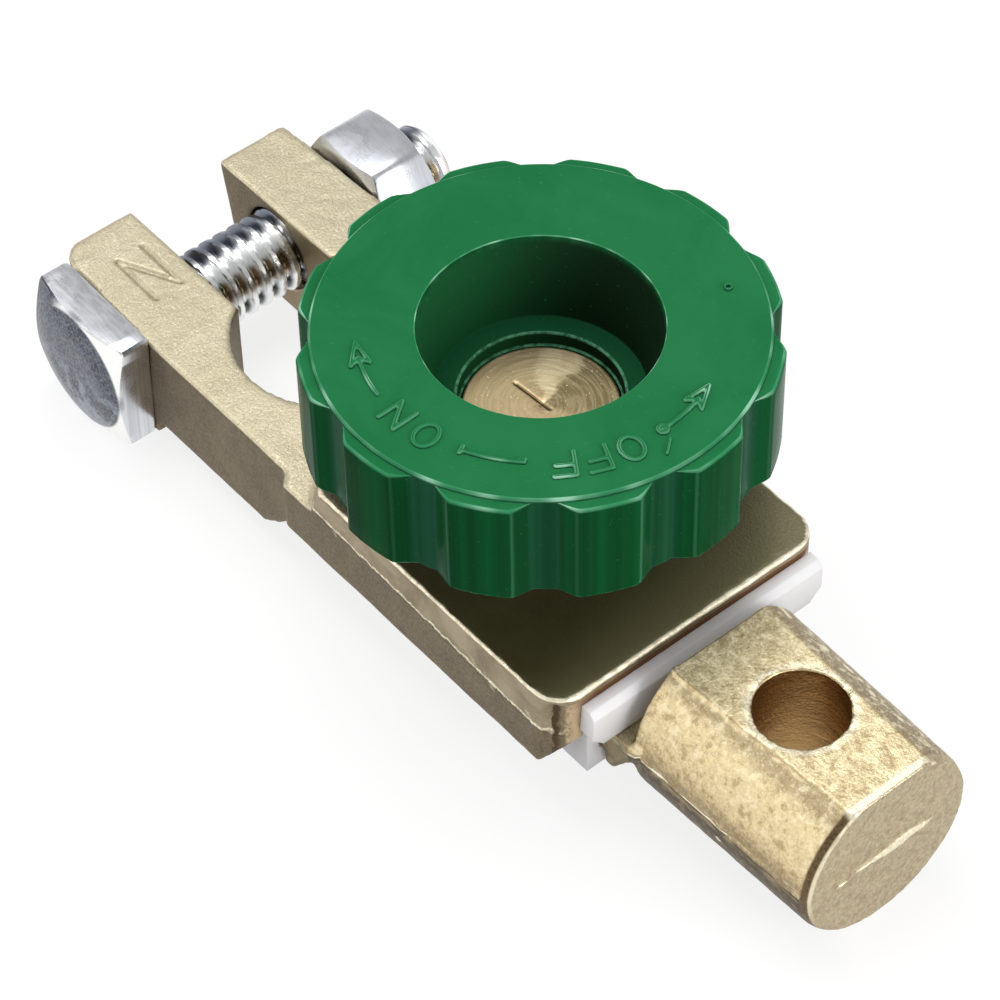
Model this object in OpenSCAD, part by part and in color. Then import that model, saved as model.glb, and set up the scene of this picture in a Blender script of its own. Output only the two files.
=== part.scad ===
// Battery disconnect switch: a post clamp and a cable post joined by a screw-down contact knob.
// Origin on the axis of the battery-post bore, at the underside of the collar. +Z up, +X to the cable post.

/* [Post collar] */
// Radius of the bore that grips the battery post
post_r = 9; // [7.5:0.1:10]
// Height of the collar
collar_h = 10; // [8:0.5:14]
// Width of the collar across its straight sides
collar_w = 26.6; // [24:0.2:30]
// Length from the bore axis to the end of the ears
ear_reach = 23.6; // [20:0.2:28]
// Width across the ears at their end
ear_end_w = 25.4; // [23:0.2:28]
// Width of the slot between the ears
slot_w = 10; // [6:0.1:12]
// How far the slot lies off the middle, towards the nut
slot_shift = 0.3; // [0:0.1:1]
// Corner radius of the ears' outer corners
ear_corner_r = 2.4; // [0.5:0.1:4]
// How far the ears' lower bosses hang below the collar
ear_drop = 1.6; // [0:0.1:3]
// Length of the lower bosses, from the ears' end
ear_boss_len = 14; // [10:0.5:16]
// How far the ears' sides are drawn in at the bolt
ear_draw = 0.45; // [0:0.05:1]
// Height of the pads round the bolt hole above the ears' sides
pad_t = 0.5; // [0.2:0.1:1.5]
// How far the pads' tops stay below the ears' top
pad_drop = 0.8; // [0:0.1:2]

/* [Cover plate] */
// Distance from the bore axis to the knob axis
knob_x = 28.4; // [26:0.2:34]
// Height of the cover's top above the collar's underside
cover_top = 13.35; // [12:0.05:17]
// Thickness of the cover plate
cover_t = 2.15; // [1.5:0.05:3]
// Width of the cover across its skirts
cover_w = 29; // [26:0.2:34]
// Length of the cover past the knob axis
cover_reach = 18.7; // [16:0.1:24]
// Radius of the cover's round end at its top edge
cover_round_r = 18.6; // [16:0.1:22]
// Slope of the round end's step, as a widening at its foot
step_slope = 0.8; // [0:0.1:2]
// Radius of the cover's outer corners
cover_corner_r = 2.8; // [0.5:0.1:5]
// Thickness of the side skirts
skirt_t = 3.2; // [2:0.1:5]
// Height of the skirts' lower edge above the collar's underside
skirt_low = 4.6; // [2:0.1:7]
// Length of the bevel that lifts the skirts' lower edge at the open end
skirt_bevel = 2.4; // [0:0.1:5]
// Height of that bevel
skirt_bevel_h = 3.4; // [0:0.1:5]
// Thickness of casting between the bore and the pocket
pocket_wall = 4.4; // [3:0.1:7]
// Distance of the foot's start inside the bore's radius, seen from the side
foot_in = 2.6; // [1:0.1:5]
// Distance of the foot's bend inside the bore's radius
foot_bend_in = 0.4; // [0:0.1:2]
// Height of the foot's bend
foot_bend_h = 1.6; // [0.5:0.1:3]
// Distance from the bore to where the foot meets the skirts' lower edge
foot_out = 2.7; // [1:0.1:4]
// Distance from the bore to where the skirts start to widen
hip_out = 1.3; // [0.5:0.1:3]

/* [Knob] */
// Radius over the lobes
knob_r = 19.6; // [16:0.1:24]
// Depth of the gaps between the lobes
lobe_depth = 1.1; // [0.4:0.1:3]
// Number of lobes
lobes = 12; // [6:1:18]
// Angle that each lobe fills
lobe_angle = 21; // [10:0.5:26]
// Angle of the first lobe's middle
lobe_phase = 7.2; // [0:0.1:30]
// Height of the grip
grip_h = 10.6; // [8:0.1:16]
// How far the lobes' tops stay below the top face
lobe_drop = 0.5; // [0:0.1:3]
// Chamfer of the lobes' upper edges
lobe_chamfer = 0.5; // [0.2:0.1:1.5]
// Chamfer of the top face's rim
rim_chamfer = 0.15; // [0.05:0.05:0.6]
// Chamfer of the grip's lower edges
low_chamfer = 0.3; // [0.1:0.1:1]
// Radius of the hub under the grip
hub_r = 10.8; // [9.8:0.1:11.4]
// Height of the hub under the grip
hub_h = 7.1; // [4:0.1:10]
// Radius of the dish at the top face
dish_r = 10; // [8.8:0.1:10.6]
// Radius at the foot of the dish's sloping wall
dish_low_r = 8.45; // [7.6:0.05:8.7]
// Depth of the dish's sloping wall
dish_wall_h = 7.4; // [5:0.1:8.5]
// Depth of the ledge at the foot of the wall
dish_ledge_h = 0.7; // [0.3:0.1:1.5]
// Width of the open ring round the stud's head
dish_ring_w = 0.5; // [0.2:0.1:1]
// Width of the moulding pocket under the grip
core_w = 3.6; // [1:0.1:3.8]
// How far that pocket lies inwards of the middle between hub and rim
core_in = 0.4; // [0:0.1:1]
// Height of grip left above the moulding pocket
core_roof = 3.4; // [2:0.1:6]
// Thickness of the ribs across the moulding pocket
core_rib = 2; // [1:0.1:4]

/* [Marks on the knob] */
// Height of the raised marks
mark_h = 0.3; // [0.1:0.05:0.8]
// Radius of the ring of marks
mark_r = 14.8; // [12:0.1:17]
// Height of the letters
letter_h = 3.1; // [2:0.1:4]
// Width of the letters
letter_w = 2.5; // [1.5:0.1:3.5]
// Line width of the marks
mark_line = 0.6; // [0.3:0.05:1]
// Length of the arrow heads
arrow_len = 2; // [1:0.1:3]
// Half width of the arrow heads
arrow_half_w = 1.2; // [0.6:0.1:2]

/* [Contact stud] */
// Radius of the stud's head
stud_head_r = 6.5; // [5.5:0.1:7]
// Depth of the head below the knob's top face
stud_head_depth = 9.4; // [8.5:0.1:12]
// Radius of the contact flange
flange_r = 9.5; // [8:0.1:10.4]
// Thickness of the contact flange
flange_t = 2.6; // [1.5:0.1:4]
// Height of flange that shows under the hub
flange_show = 0.8; // [0.2:0.1:1.4]
// Radius of the threaded shank
stud_r = 6; // [4.5:0.1:6.2]
// Lead of the stud's thread
stud_pitch = 1.75; // [1:0.05:2.5]
// How far the stud's tip stays inside the boss
stud_tip_in = 0.3; // [0:0.1:2]
// Chamfer at the stud's tip
stud_chamfer = 0.8; // [0.2:0.1:1.5]
// Radius of the contact washer
washer_r = 9; // [8:0.1:9.1]
// Thickness of the contact washer
washer_t = 1.15; // [0.5:0.05:2]

/* [Insulators] */
// Thickness of the upper insulator's plate
upper_t = 2; // [1:0.1:3]
// Radius of its collar inside the cover's hole
spigot_r = 7.5; // [7:0.1:8.5]
// How far that collar stays below the cover's top
spigot_drop = 0.45; // [0.2:0.05:1]
// Thickness of the end wall
end_wall_t = 1.6; // [0.8:0.1:3]
// Width of the end wall
end_wall_w = 26; // [22:0.2:29]
// Height of the end wall
end_wall_h = 3.7; // [2:0.1:5]
// How far the end wall rises past the cover plate's underside
end_wall_rise = 0.35; // [0:0.05:1.5]
// Chamfer of the end wall's upper outer edge
end_wall_edge = 0.6; // [0.2:0.1:1.2]
// Chamfer of the end wall's lower corners
end_wall_chamfer = 1.3; // [0.2:0.1:2.5]
// Thickness of the lower insulator's floor
lower_t = 2; // [1:0.1:3]
// Thickness of the lower insulator's side walls
lower_wall_t = 1.3; // [0.8:0.1:2]
// Wall of the tubes round the rivets
tube_wall = 0.7; // [0.4:0.05:1.2]

/* [Cable post] */
// Height of the post's axis above the collar's underside
cable_z = 6.75; // [5:0.05:9]
// Radius of the post at its root
cable_root_r = 9.1; // [7.5:0.1:10.5]
// Radius of the post where its end bevel starts
cable_end_r = 8.65; // [7:0.05:10]
// Length of the bevel round the post's end
cable_bevel = 1; // [0.2:0.1:3]
// How far the bevel draws the post's end in
cable_bevel_in = 0.35; // [0.1:0.05:1]
// Distance from the cover's end to the post's root
cable_gap = 3.1; // [2.5:0.1:6]
// Length of the post
cable_len = 20.4; // [15:0.1:28]
// Height of the post's flat above its axis
cable_flat = 7.65; // [5:0.05:8.4]
// Radius of the vertical cross hole
cross_r = 3.95; // [2.5:0.05:4.5]
// Distance of the cross hole from the post's root
cross_x = 9.8; // [6:0.1:14]
// Thickness of the lug under the cover
lug_t = 4.3; // [3:0.1:6]
// Width of the neck between lug and post
neck_w = 19; // [14:0.2:22]
// How far the neck's foot hangs below the lug
neck_foot = 1.9; // [0:0.1:3]
// How far the neck's underside rises towards the post
neck_rise = 4; // [0:0.1:5]
// Radius of the threaded boss under the lug
boss_r = 9; // [7.6:0.1:9.1]
// Height of the threaded boss
boss_h = 4.4; // [2:0.1:6]

/* [Pinch bolt] */
// Radius of the bolt
bolt_r = 3.95; // [3:0.05:4.1]
// Distance of the bolt axis from the bore axis
bolt_x = 15.4; // [14:0.1:18]
// Height of the bolt axis above the collar's underside
bolt_z = 4.75; // [4:0.05:5.4]
// Lead of the bolt's thread
bolt_pitch = 1.6; // [1:0.05:2]
// Length of bolt past the nut
bolt_past_nut = 3.6; // [1:0.1:10]
// Length of the bolt's tapered tip
bolt_tip_h = 0.8; // [0.2:0.1:2]
// How far the tip is smaller in radius
bolt_tip_in = 0.7; // [0.2:0.1:1.5]
// Width across flats of the square head
head_flats = 12.4; // [11:0.1:14]
// Height of the square head at its middle
head_h = 4.2; // [3:0.1:7]
// Turn of the square head from level
head_turn = 2; // [-10:1:10]
// Height of the head at its corners
head_corner_h = 2.7; // [1.5:0.1:5]
// Radius of the head's flat face
head_face_r = 3.6; // [2:0.1:6]
// Radius at which the head's crown steepens
head_crown_r = 6.2; // [4:0.1:7.5]
// Drop of the crown at that radius
head_crown_drop = 0.5; // [0.2:0.1:1]
// Width across flats of the nut
nut_flats = 13; // [11:0.1:15]
// Height of the nut
nut_h = 6.3; // [4:0.1:8]
// Chamfer height on the nut's corners
nut_chamfer = 0.6; // [0.2:0.1:1.2]
// How far the nut's round faces stay inside its flats
nut_face_in = 0.2; // [0:0.1:1]

/* [Rivets] */
// Radius of the rivets
rivet_r = 1.6; // [1:0.05:1.8]
// Clearance between the rivets' washers and the threaded boss
rivet_gap = 0.15; // [0.05:0.05:0.5]
// Distance of the rivets from the cover's sides
rivet_edge = 8.9; // [8.5:0.1:9.1]
// Radius of the countersunk heads
rivet_head_r = 2.9; // [2:0.1:3]
// Height of the countersunk heads
rivet_head_h = 1.2; // [0.6:0.1:1.6]
// Radius of the washers under the rivets' tails
rivet_washer_r = 3; // [2.4:0.1:3]
// Thickness of those washers
rivet_washer_t = 0.8; // [0.4:0.1:1.4]
// Radius of the peened tails
tail_r = 2.4; // [2:0.1:2.8]
// Height of the peened tails
tail_h = 0.9; // [0.5:0.1:1.5]
// How far the tails' ends are smaller in radius
tail_in = 0.5; // [0.2:0.1:1]

/* [Fits] */
// Gap between flat faces that rest on each other
seat_gap = 0.03; // [0.01:0.01:0.1]
// Radial clearance of round parts that turn in each other
turn_gap = 0.05; // [0.02:0.01:0.1]
// Radial clearance of round parts that stand still in each other
still_gap = 0.1; // [0.05:0.01:0.3]
// Side clearance of the insulators and the lug
side_gap = 0.15; // [0.05:0.01:0.3]
// Clearance of the bolt in the ears
ear_gap = 0.25; // [0.1:0.05:0.5]

/* [Hidden] */
$fn = 72;

eps = 0.01;
cut = 1;
small_round_fn = 32;

off_angles = [-9.8, -20.8, -30.8];
on_angles = [-77.3, -89.8];
dash_angle = -64.8;
dash_sweep = 21;
off_arrow_angle = 1.2;
on_arrow_angle = -99.8;
arrow_sweep = 17;

cover_end_x = knob_x + cover_reach;
cover_low = cover_top - cover_t;
pocket_x = post_r + pocket_wall;
pocket_w = cover_w - 2 * skirt_t;
foot_x = post_r - foot_in;
foot_bend_x = post_r - foot_bend_in;
foot_end_x = post_r + foot_out;
hip_x = post_r + hip_out;
hip_end_x = hip_x + (cover_w - collar_w) / 2;

upper_top = cover_low - seat_gap;
upper_low = upper_top - upper_t;
lug_top = upper_low - seat_gap;
lug_low = lug_top - lug_t;
lower_top = lug_low - seat_gap;
lower_low = lower_top - lower_t;
rivet_washer_top = lower_low - seat_gap;
rivet_washer_low = rivet_washer_top - rivet_washer_t;
tail_top = rivet_washer_low - seat_gap;
plate_w = pocket_w - 2 * side_gap;
plate_x = pocket_x + side_gap;
plate_end_x = cover_end_x - seat_gap;
lug_w = plate_w - 2 * lower_wall_t - 2 * side_gap;
end_wall_x = cover_end_x + seat_gap;
end_wall_face_x = end_wall_x + end_wall_t;
end_wall_top = cover_low + end_wall_rise;
end_wall_low = end_wall_top - end_wall_h;
neck_top = end_wall_low - side_gap;
neck_x = cover_end_x + side_gap;
root_x = cover_end_x + cable_gap;
rivet_y = cover_w / 2 - rivet_edge;
rivet_reach = boss_r + rivet_washer_r + rivet_gap;
rivet_x = knob_x - sqrt(pow(rivet_reach, 2) - pow(rivet_y, 2));
tube_r = rivet_r + turn_gap + tube_wall;

washer_low = cover_top + seat_gap;
flange_low = washer_low + washer_t + seat_gap;
hub_low = flange_low + flange_show;
grip_low = hub_low + hub_h;
knob_top = grip_low + grip_h;
head_top = knob_top - stud_head_depth;
stud_low = lug_low - boss_h + stud_tip_in;
rim_r = knob_r - lobe_depth;
lobe_in_r = rim_r - 2 * cut;
dish_floor = knob_top - dish_wall_h - dish_ledge_h;
core_out_r = (rim_r + hub_r) / 2 + core_w / 2 - core_in;

ear_face = collar_w / 2;
pad_face = ear_face - ear_draw + pad_t;
head_y = -(pad_face + seat_gap);
nut_y = pad_face + seat_gap;
bolt_end_y = nut_y + nut_h + bolt_past_nut;
nut_corner_r = nut_flats / 2 / cos(30);
nut_face_r = nut_flats / 2 - nut_face_in;
nut_out_r = nut_corner_r + cut;
nut_out_h = nut_chamfer * (nut_out_r - nut_face_r) / (nut_corner_r - nut_face_r);
head_corner_r = head_flats / sqrt(2);
head_out_r = head_corner_r + cut;
head_slope = (head_h - head_crown_drop - head_corner_h) / (head_corner_r - head_crown_r);
head_out_h = head_corner_h - cut * head_slope;

brass = [0.80, 0.74, 0.60];
turned_brass = [0.82, 0.68, 0.45];
zinc = [0.75, 0.77, 0.80];
nylon = [0.90, 0.89, 0.92];
green = [0.13, 0.42, 0.24];

// Box given by its two corners
module box(low, high) {
    translate(low) cube([high[0] - low[0], high[1] - low[1], high[2] - low[2]]);
}

// Box that is centred on the middle plane
module mid_box(x0, x1, width, z0, z1) {
    box([x0, -width / 2, z0], [x1, width / 2, z1]);
}

// Upright cylinder
module post(x, y, r, z0, z1) {
    translate([x, y, z0]) cylinder(r = r, h = z1 - z0);
}

// Cylinder along the bolt's axis
module bolt_line(r, y0, y1) {
    translate([-bolt_x, y0, bolt_z]) rotate([-90, 0, 0]) cylinder(r = r, h = y1 - y0);
}

// Block with two rounded upright edges at its +X end
module round_end_block(x0, x1, width, z0, z1, r) {
    mid_box(x0, x1 - r, width, z0, z1);
    mid_box(x1 - r - eps, x1, width - 2 * r, z0, z1);
    for (side = [-1, 1]) post(x1 - r, side * (width / 2 - r), r, z0, z1);
}

// Side view of the collar and of the foot that rises to the skirts, as thick as the collar is wide
module collar_side() {
    rotate([90, 0, 0]) translate([0, 0, -collar_w / 2]) linear_extrude(collar_w)
        polygon([[-ear_reach, 0], [foot_x, 0], [foot_bend_x, foot_bend_h], [foot_end_x, skirt_low],
            [pocket_x + cut, skirt_low], [pocket_x + cut, collar_h], [-ear_reach, collar_h]]);
}

// Plan of the collar and ears, with the ears' sides drawn in towards their end
module collar_plan() {
    corner = [for (a = [0:15:90]) [-ear_reach + ear_corner_r * (1 - cos(a)),
        ear_end_w / 2 - ear_corner_r * (1 - sin(a))]];
    half = concat(corner, [[-post_r, collar_w / 2], [pocket_x + cut, collar_w / 2]]);
    other = [for (i = [len(half) - 1:-1:0]) [half[i][0], -half[i][1]]];
    polygon(concat(half, other));
}

// Skirted cover: raised plate with a round end over the collar, and the walls below it
module cover() {
    intersection() {
        translate([knob_x, 0, collar_h - eps])
            cylinder(r1 = cover_round_r + step_slope, r2 = cover_round_r, h = cover_top - collar_h + eps);
        mid_box(knob_x - knob_x, cover_end_x, cover_w, 0, cover_top + cut);
    }
    round_end_block(knob_x, cover_end_x, cover_w, collar_h - eps, cover_top, cover_corner_r);
    round_end_block(hip_end_x, cover_end_x, cover_w, skirt_low, collar_h, cover_corner_r);
    translate([0, 0, skirt_low]) linear_extrude(collar_h - skirt_low)
        polygon([[hip_x, -collar_w / 2], [hip_end_x + eps, -cover_w / 2],
            [hip_end_x + eps, cover_w / 2], [hip_x, collar_w / 2]]);
}

module clamp_body() {
    color(brass) difference() {
        union() {
            intersection() {
                collar_side();
                translate([0, 0, -cut]) linear_extrude(collar_h + 2 * cut) collar_plan();
            }
            intersection() {
                mid_box(-ear_reach, -ear_reach + ear_boss_len, collar_w, -ear_drop, eps);
                translate([0, 0, -ear_drop - cut]) linear_extrude(ear_drop + 2 * cut) collar_plan();
            }
            mid_box(-bolt_x - head_flats / 2, -bolt_x + head_flats / 2, 2 * pad_face,
                -ear_drop, collar_h - pad_drop);
            cover();
        }
        post(0, 0, post_r, -ear_drop - cut, cover_top + cut);
        translate([0, slot_shift, 0]) mid_box(-ear_reach - cut, 0, slot_w, -ear_drop - cut, collar_h + cut);
        bolt_line(bolt_r + ear_gap, -collar_w, collar_w);
        mid_box(pocket_x, cover_end_x + cut, pocket_w, -cut, cover_low);
        post(knob_x, 0, spigot_r + still_gap, 0, cover_top + cut);
        for (side = [-1, 1]) {
            post(rivet_x, side * rivet_y, rivet_r + turn_gap, 0, cover_top + cut);
            translate([rivet_x, side * rivet_y, cover_top - rivet_head_h - seat_gap])
                cylinder(r1 = rivet_r + turn_gap, r2 = rivet_head_r + turn_gap,
                    h = rivet_head_h + seat_gap + eps);
        }
        rotate([90, 0, 0]) translate([0, 0, -cover_w]) linear_extrude(2 * cover_w)
            polygon([[cover_end_x - skirt_bevel, skirt_low - eps], [cover_end_x + cut, skirt_low - eps],
                [cover_end_x + cut, skirt_low + skirt_bevel_h], [cover_end_x, skirt_low + skirt_bevel_h]]);
    }
}

module pinch_bolt() {
    color(zinc) {
        bolt_line(bolt_r, head_y - eps, bolt_end_y - bolt_tip_h);
        translate([-bolt_x, bolt_end_y - bolt_tip_h, bolt_z]) rotate([-90, 0, 0])
            cylinder(r1 = bolt_r, r2 = bolt_r - bolt_tip_in, h = bolt_tip_h);
        intersection() {
            translate([-bolt_x, 0, bolt_z]) rotate([0, -head_turn, 0])
                box([-head_flats / 2, head_y - head_h, -head_flats / 2],
                    [head_flats / 2, head_y, head_flats / 2]);
            translate([-bolt_x, head_y, bolt_z]) rotate([90, 0, 0]) rotate_extrude()
                polygon([[0, -cut], [head_out_r, -cut], [head_out_r, head_out_h],
                    [head_crown_r, head_h - head_crown_drop], [head_face_r, head_h], [0, head_h]]);
        }
    }
}

module pinch_nut() {
    color(zinc) difference() {
        intersection() {
            translate([-bolt_x, nut_y, bolt_z]) rotate([-90, 0, 0])
                cylinder(r = nut_corner_r, h = nut_h, $fn = 6);
            translate([-bolt_x, nut_y, bolt_z]) rotate([-90, 0, 0]) rotate_extrude()
                polygon([[0, 0], [nut_face_r, 0], [nut_out_r, nut_out_h],
                    [nut_out_r, nut_h - nut_out_h], [nut_face_r, nut_h], [0, nut_h]]);
        }
        bolt_line(bolt_r + turn_gap, nut_y - cut, nut_y + nut_h + cut);
    }
}

module upper_insulator() {
    color(nylon) difference() {
        union() {
            mid_box(plate_x, plate_end_x, plate_w, upper_low, upper_top);
            mid_box(plate_end_x - eps, end_wall_x + eps, pocket_w - 2 * side_gap, upper_low, upper_top);
            translate([end_wall_x, 0, 0]) rotate([90, 0, 90]) linear_extrude(end_wall_t)
                polygon([[-end_wall_w / 2 + end_wall_chamfer, end_wall_low],
                    [end_wall_w / 2 - end_wall_chamfer, end_wall_low],
                    [end_wall_w / 2, end_wall_low + end_wall_chamfer], [end_wall_w / 2, end_wall_top],
                    [-end_wall_w / 2, end_wall_top], [-end_wall_w / 2, end_wall_low + end_wall_chamfer]]);
            post(knob_x, 0, spigot_r, upper_low, cover_top - spigot_drop);
        }
        post(knob_x, 0, stud_r + still_gap, upper_low - cut, cover_top);
        for (side = [-1, 1])
            post(rivet_x, side * rivet_y, rivet_r + turn_gap, upper_low - cut, upper_top + cut);
        rotate([90, 0, 0]) translate([0, 0, -end_wall_w]) linear_extrude(2 * end_wall_w)
            polygon([[end_wall_face_x + cut, end_wall_top - end_wall_edge - cut],
                [end_wall_face_x - end_wall_edge - cut, end_wall_top + cut],
                [end_wall_face_x + cut, end_wall_top + cut]]);
    }
}

module lower_insulator() {
    color(nylon) difference() {
        union() {
            mid_box(plate_x, plate_end_x, plate_w, lower_low, lower_top);
            for (side = [-1, 1]) {
                translate([0, side * (plate_w - lower_wall_t) / 2, 0])
                    mid_box(plate_x, plate_end_x, lower_wall_t, lower_low, upper_low - seat_gap);
                post(rivet_x, side * rivet_y, tube_r, lower_low, upper_low - seat_gap);
            }
        }
        post(knob_x, 0, boss_r + still_gap, lower_low - cut, lower_top + cut);
        for (side = [-1, 1])
            post(rivet_x, side * rivet_y, rivet_r + turn_gap, lower_low - cut, upper_low + cut);
    }
}

module cable_post() {
    color(brass) difference() {
        union() {
            mid_box(plate_x, plate_end_x, lug_w, lug_low, lug_top);
            mid_box(plate_end_x - cut, neck_x + cut, lug_w, lug_low, neck_top);
            rotate([90, 0, 0]) translate([0, 0, -neck_w / 2]) linear_extrude(neck_w)
                polygon([[neck_x, neck_top], [neck_x, lug_low - neck_foot],
                    [neck_x + cut, lug_low - neck_foot],
                    [root_x + cut, lug_low - neck_foot + neck_rise], [root_x + cut, neck_top]]);
            post(knob_x, 0, boss_r, lug_low - boss_h, lug_low + eps);
            difference() {
                translate([root_x, 0, cable_z]) rotate([0, 90, 0]) {
                    cylinder(r1 = cable_root_r, r2 = cable_end_r, h = cable_len - cable_bevel);
                    translate([0, 0, cable_len - cable_bevel])
                        cylinder(r1 = cable_end_r, r2 = cable_end_r - cable_bevel_in, h = cable_bevel);
                }
                mid_box(root_x - cut, root_x + cable_len + cut, 2 * cable_root_r,
                    cable_z + cable_flat, cable_z + cable_root_r + cut);
            }
        }
        post(knob_x, 0, stud_r + turn_gap, lug_low - boss_h - cut, lug_top + cut);
        post(root_x + cross_x, 0, cross_r, cable_z - cable_root_r - cut, cable_z + cable_flat + cut);
        for (side = [-1, 1])
            post(rivet_x, side * rivet_y, tube_r + still_gap, lug_low - cut, lug_top + cut);
    }
}

// Letter O, N or F drawn upright with its foot line at the bottom and its middle at the origin
module letter_o() {
    round_r = letter_w / 2;
    lift = letter_h / 2 - round_r;
    difference() {
        union() {
            for (side = [-1, 1]) translate([0, side * lift]) circle(r = round_r, $fn = small_round_fn);
            square([letter_w, 2 * lift], center = true);
        }
        for (side = [-1, 1])
            translate([0, side * lift]) circle(r = round_r - mark_line, $fn = small_round_fn);
        square([letter_w - 2 * mark_line, 2 * lift], center = true);
    }
}

module letter_f() {
    translate([-letter_w / 2, -letter_h / 2]) {
        square([mark_line, letter_h]);
        translate([0, letter_h - mark_line]) square([letter_w * 0.9, mark_line]);
        translate([0, letter_h * 0.45]) square([letter_w * 0.75, mark_line]);
    }
}

module letter_n() {
    w = letter_w / 2;
    h = letter_h / 2;
    polygon([[-w, -h], [-w, h], [-w + mark_line, h], [w - mark_line, -h + 1.6 * mark_line],
        [w - mark_line, h], [w, h], [w, -h], [w - mark_line, -h], [-w + mark_line, h - 1.6 * mark_line],
        [-w + mark_line, -h]]);
}

// Places a flat mark on the knob's top face, its head pointing outwards
module on_top(angle) {
    translate([knob_x, 0, knob_top - eps]) rotate([0, 0, angle - 90]) translate([0, mark_r, 0])
        linear_extrude(mark_h + eps) children();
}

// Raised line along the ring of marks
module arc_line(from, sweep) {
    translate([knob_x, 0, knob_top - eps]) rotate([0, 0, from]) rotate_extrude(angle = sweep)
        translate([mark_r - mark_line / 2, 0]) square([mark_line, mark_h + eps]);
}

// Arrow along the ring of marks, turning the way of sense
module arrow(from, sweep, sense) {
    arc_line(sense > 0 ? from : from - sweep, sweep);
    on_top(from + sense * sweep)
        polygon([[0, -arrow_half_w], [0, arrow_half_w], [-sense * arrow_len, 0]]);
}

module knob_marks() {
    on_top(off_angles[0]) letter_o();
    for (i = [1, 2]) on_top(off_angles[i]) letter_f();
    on_top(on_angles[0]) letter_o();
    on_top(on_angles[1]) letter_n();
    arc_line(dash_angle, dash_sweep);
    arrow(off_arrow_angle, arrow_sweep, 1);
    arrow(on_arrow_angle, arrow_sweep, -1);
}

// Turned outline of the grip without its lobes
module rim_outline() {
    polygon([[0, 0], [rim_r - low_chamfer, 0], [rim_r, low_chamfer], [rim_r, grip_h - rim_chamfer],
        [rim_r - rim_chamfer, grip_h], [0, grip_h]]);
}

// Turned outline that bounds the lobes
module lobe_outline() {
    top = grip_h - lobe_drop;
    polygon([[lobe_in_r, 0], [knob_r - low_chamfer, 0], [knob_r, low_chamfer],
        [knob_r, top - lobe_chamfer], [knob_r - lobe_chamfer, top], [lobe_in_r, top]]);
}

module knob() {
    wedge = 2 * knob_r;
    color(green) difference() {
        union() {
            translate([knob_x, 0, grip_low]) {
                rotate_extrude() rim_outline();
                intersection() {
                    rotate_extrude() lobe_outline();
                    linear_extrude(grip_h) for (i = [0:lobes - 1])
                        rotate([0, 0, lobe_phase + i * 360 / lobes])
                            polygon([[0, 0], [wedge, -wedge * tan(lobe_angle / 2)],
                                [wedge, wedge * tan(lobe_angle / 2)]]);
                }
            }
            post(knob_x, 0, hub_r, hub_low, grip_low + eps);
            knob_marks();
        }
        translate([knob_x, 0, knob_top - dish_wall_h])
            cylinder(r1 = dish_low_r, r2 = dish_r, h = dish_wall_h + eps);
        translate([knob_x, 0, dish_floor])
            cylinder(r1 = stud_head_r + dish_ring_w, r2 = dish_low_r, h = dish_ledge_h + eps);
        post(knob_x, 0, stud_head_r + dish_ring_w, head_top - 1, dish_floor + eps);
        post(knob_x, 0, stud_head_r + still_gap, hub_low - cut, head_top);
        post(knob_x, 0, flange_r + still_gap, hub_low - cut, flange_low + flange_t + seat_gap);
        difference() {
            post(knob_x, 0, core_out_r, grip_low - cut, knob_top - core_roof);
            post(knob_x, 0, core_out_r - core_w, grip_low - 2 * cut, knob_top);
            for (i = [0:lobes / 2 - 1]) translate([knob_x, 0, 0]) rotate([0, 0, lobe_phase + i * 720 / lobes])
                box([0, -core_rib / 2, grip_low], [knob_r, core_rib / 2, knob_top]);
        }
    }
}

module contact_stud() {
    color(turned_brass) translate([knob_x, 0, 0]) rotate_extrude()
        polygon([[0, stud_low], [stud_r - stud_chamfer, stud_low], [stud_r, stud_low + stud_chamfer],
            [stud_r, flange_low], [flange_r, flange_low], [flange_r, flange_low + flange_t],
            [stud_head_r, flange_low + flange_t], [stud_head_r, head_top], [0, head_top]]);
}

module contact_washer() {
    color(turned_brass) difference() {
        post(knob_x, 0, washer_r, washer_low, washer_low + washer_t);
        post(knob_x, 0, stud_r + turn_gap, washer_low - cut, washer_low + washer_t + cut);
    }
}

module rivet(side) {
    color(turned_brass) translate([rivet_x, side * rivet_y, 0]) {
        translate([0, 0, cover_top - rivet_head_h])
            cylinder(r1 = rivet_r, r2 = rivet_head_r, h = rivet_head_h);
        post(0, 0, rivet_r, tail_top - tail_h, cover_top - rivet_head_h + eps);
        translate([0, 0, tail_top - tail_h]) cylinder(r1 = tail_r - tail_in, r2 = tail_r, h = tail_h);
    }
}

module rivet_washer(side) {
    color(zinc) difference() {
        post(rivet_x, side * rivet_y, rivet_washer_r, rivet_washer_low, rivet_washer_top);
        post(rivet_x, side * rivet_y, rivet_r + turn_gap, rivet_washer_low - cut, rivet_washer_top + cut);
    }
}

module rivet_1() {
    rivet(-1);
}

module rivet_2() {
    rivet(1);
}

module rivet_washer_1() {
    rivet_washer(-1);
}

module rivet_washer_2() {
    rivet_washer(1);
}

clamp_body();
pinch_bolt();
pinch_nut();
upper_insulator();
lower_insulator();
cable_post();
knob();
contact_stud();
contact_washer();
rivet_1();
rivet_2();
rivet_washer_1();
rivet_washer_2();
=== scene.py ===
import itertools
import math

import bmesh
import bpy
import numpy as np
from mathutils import Matrix, Vector


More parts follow.
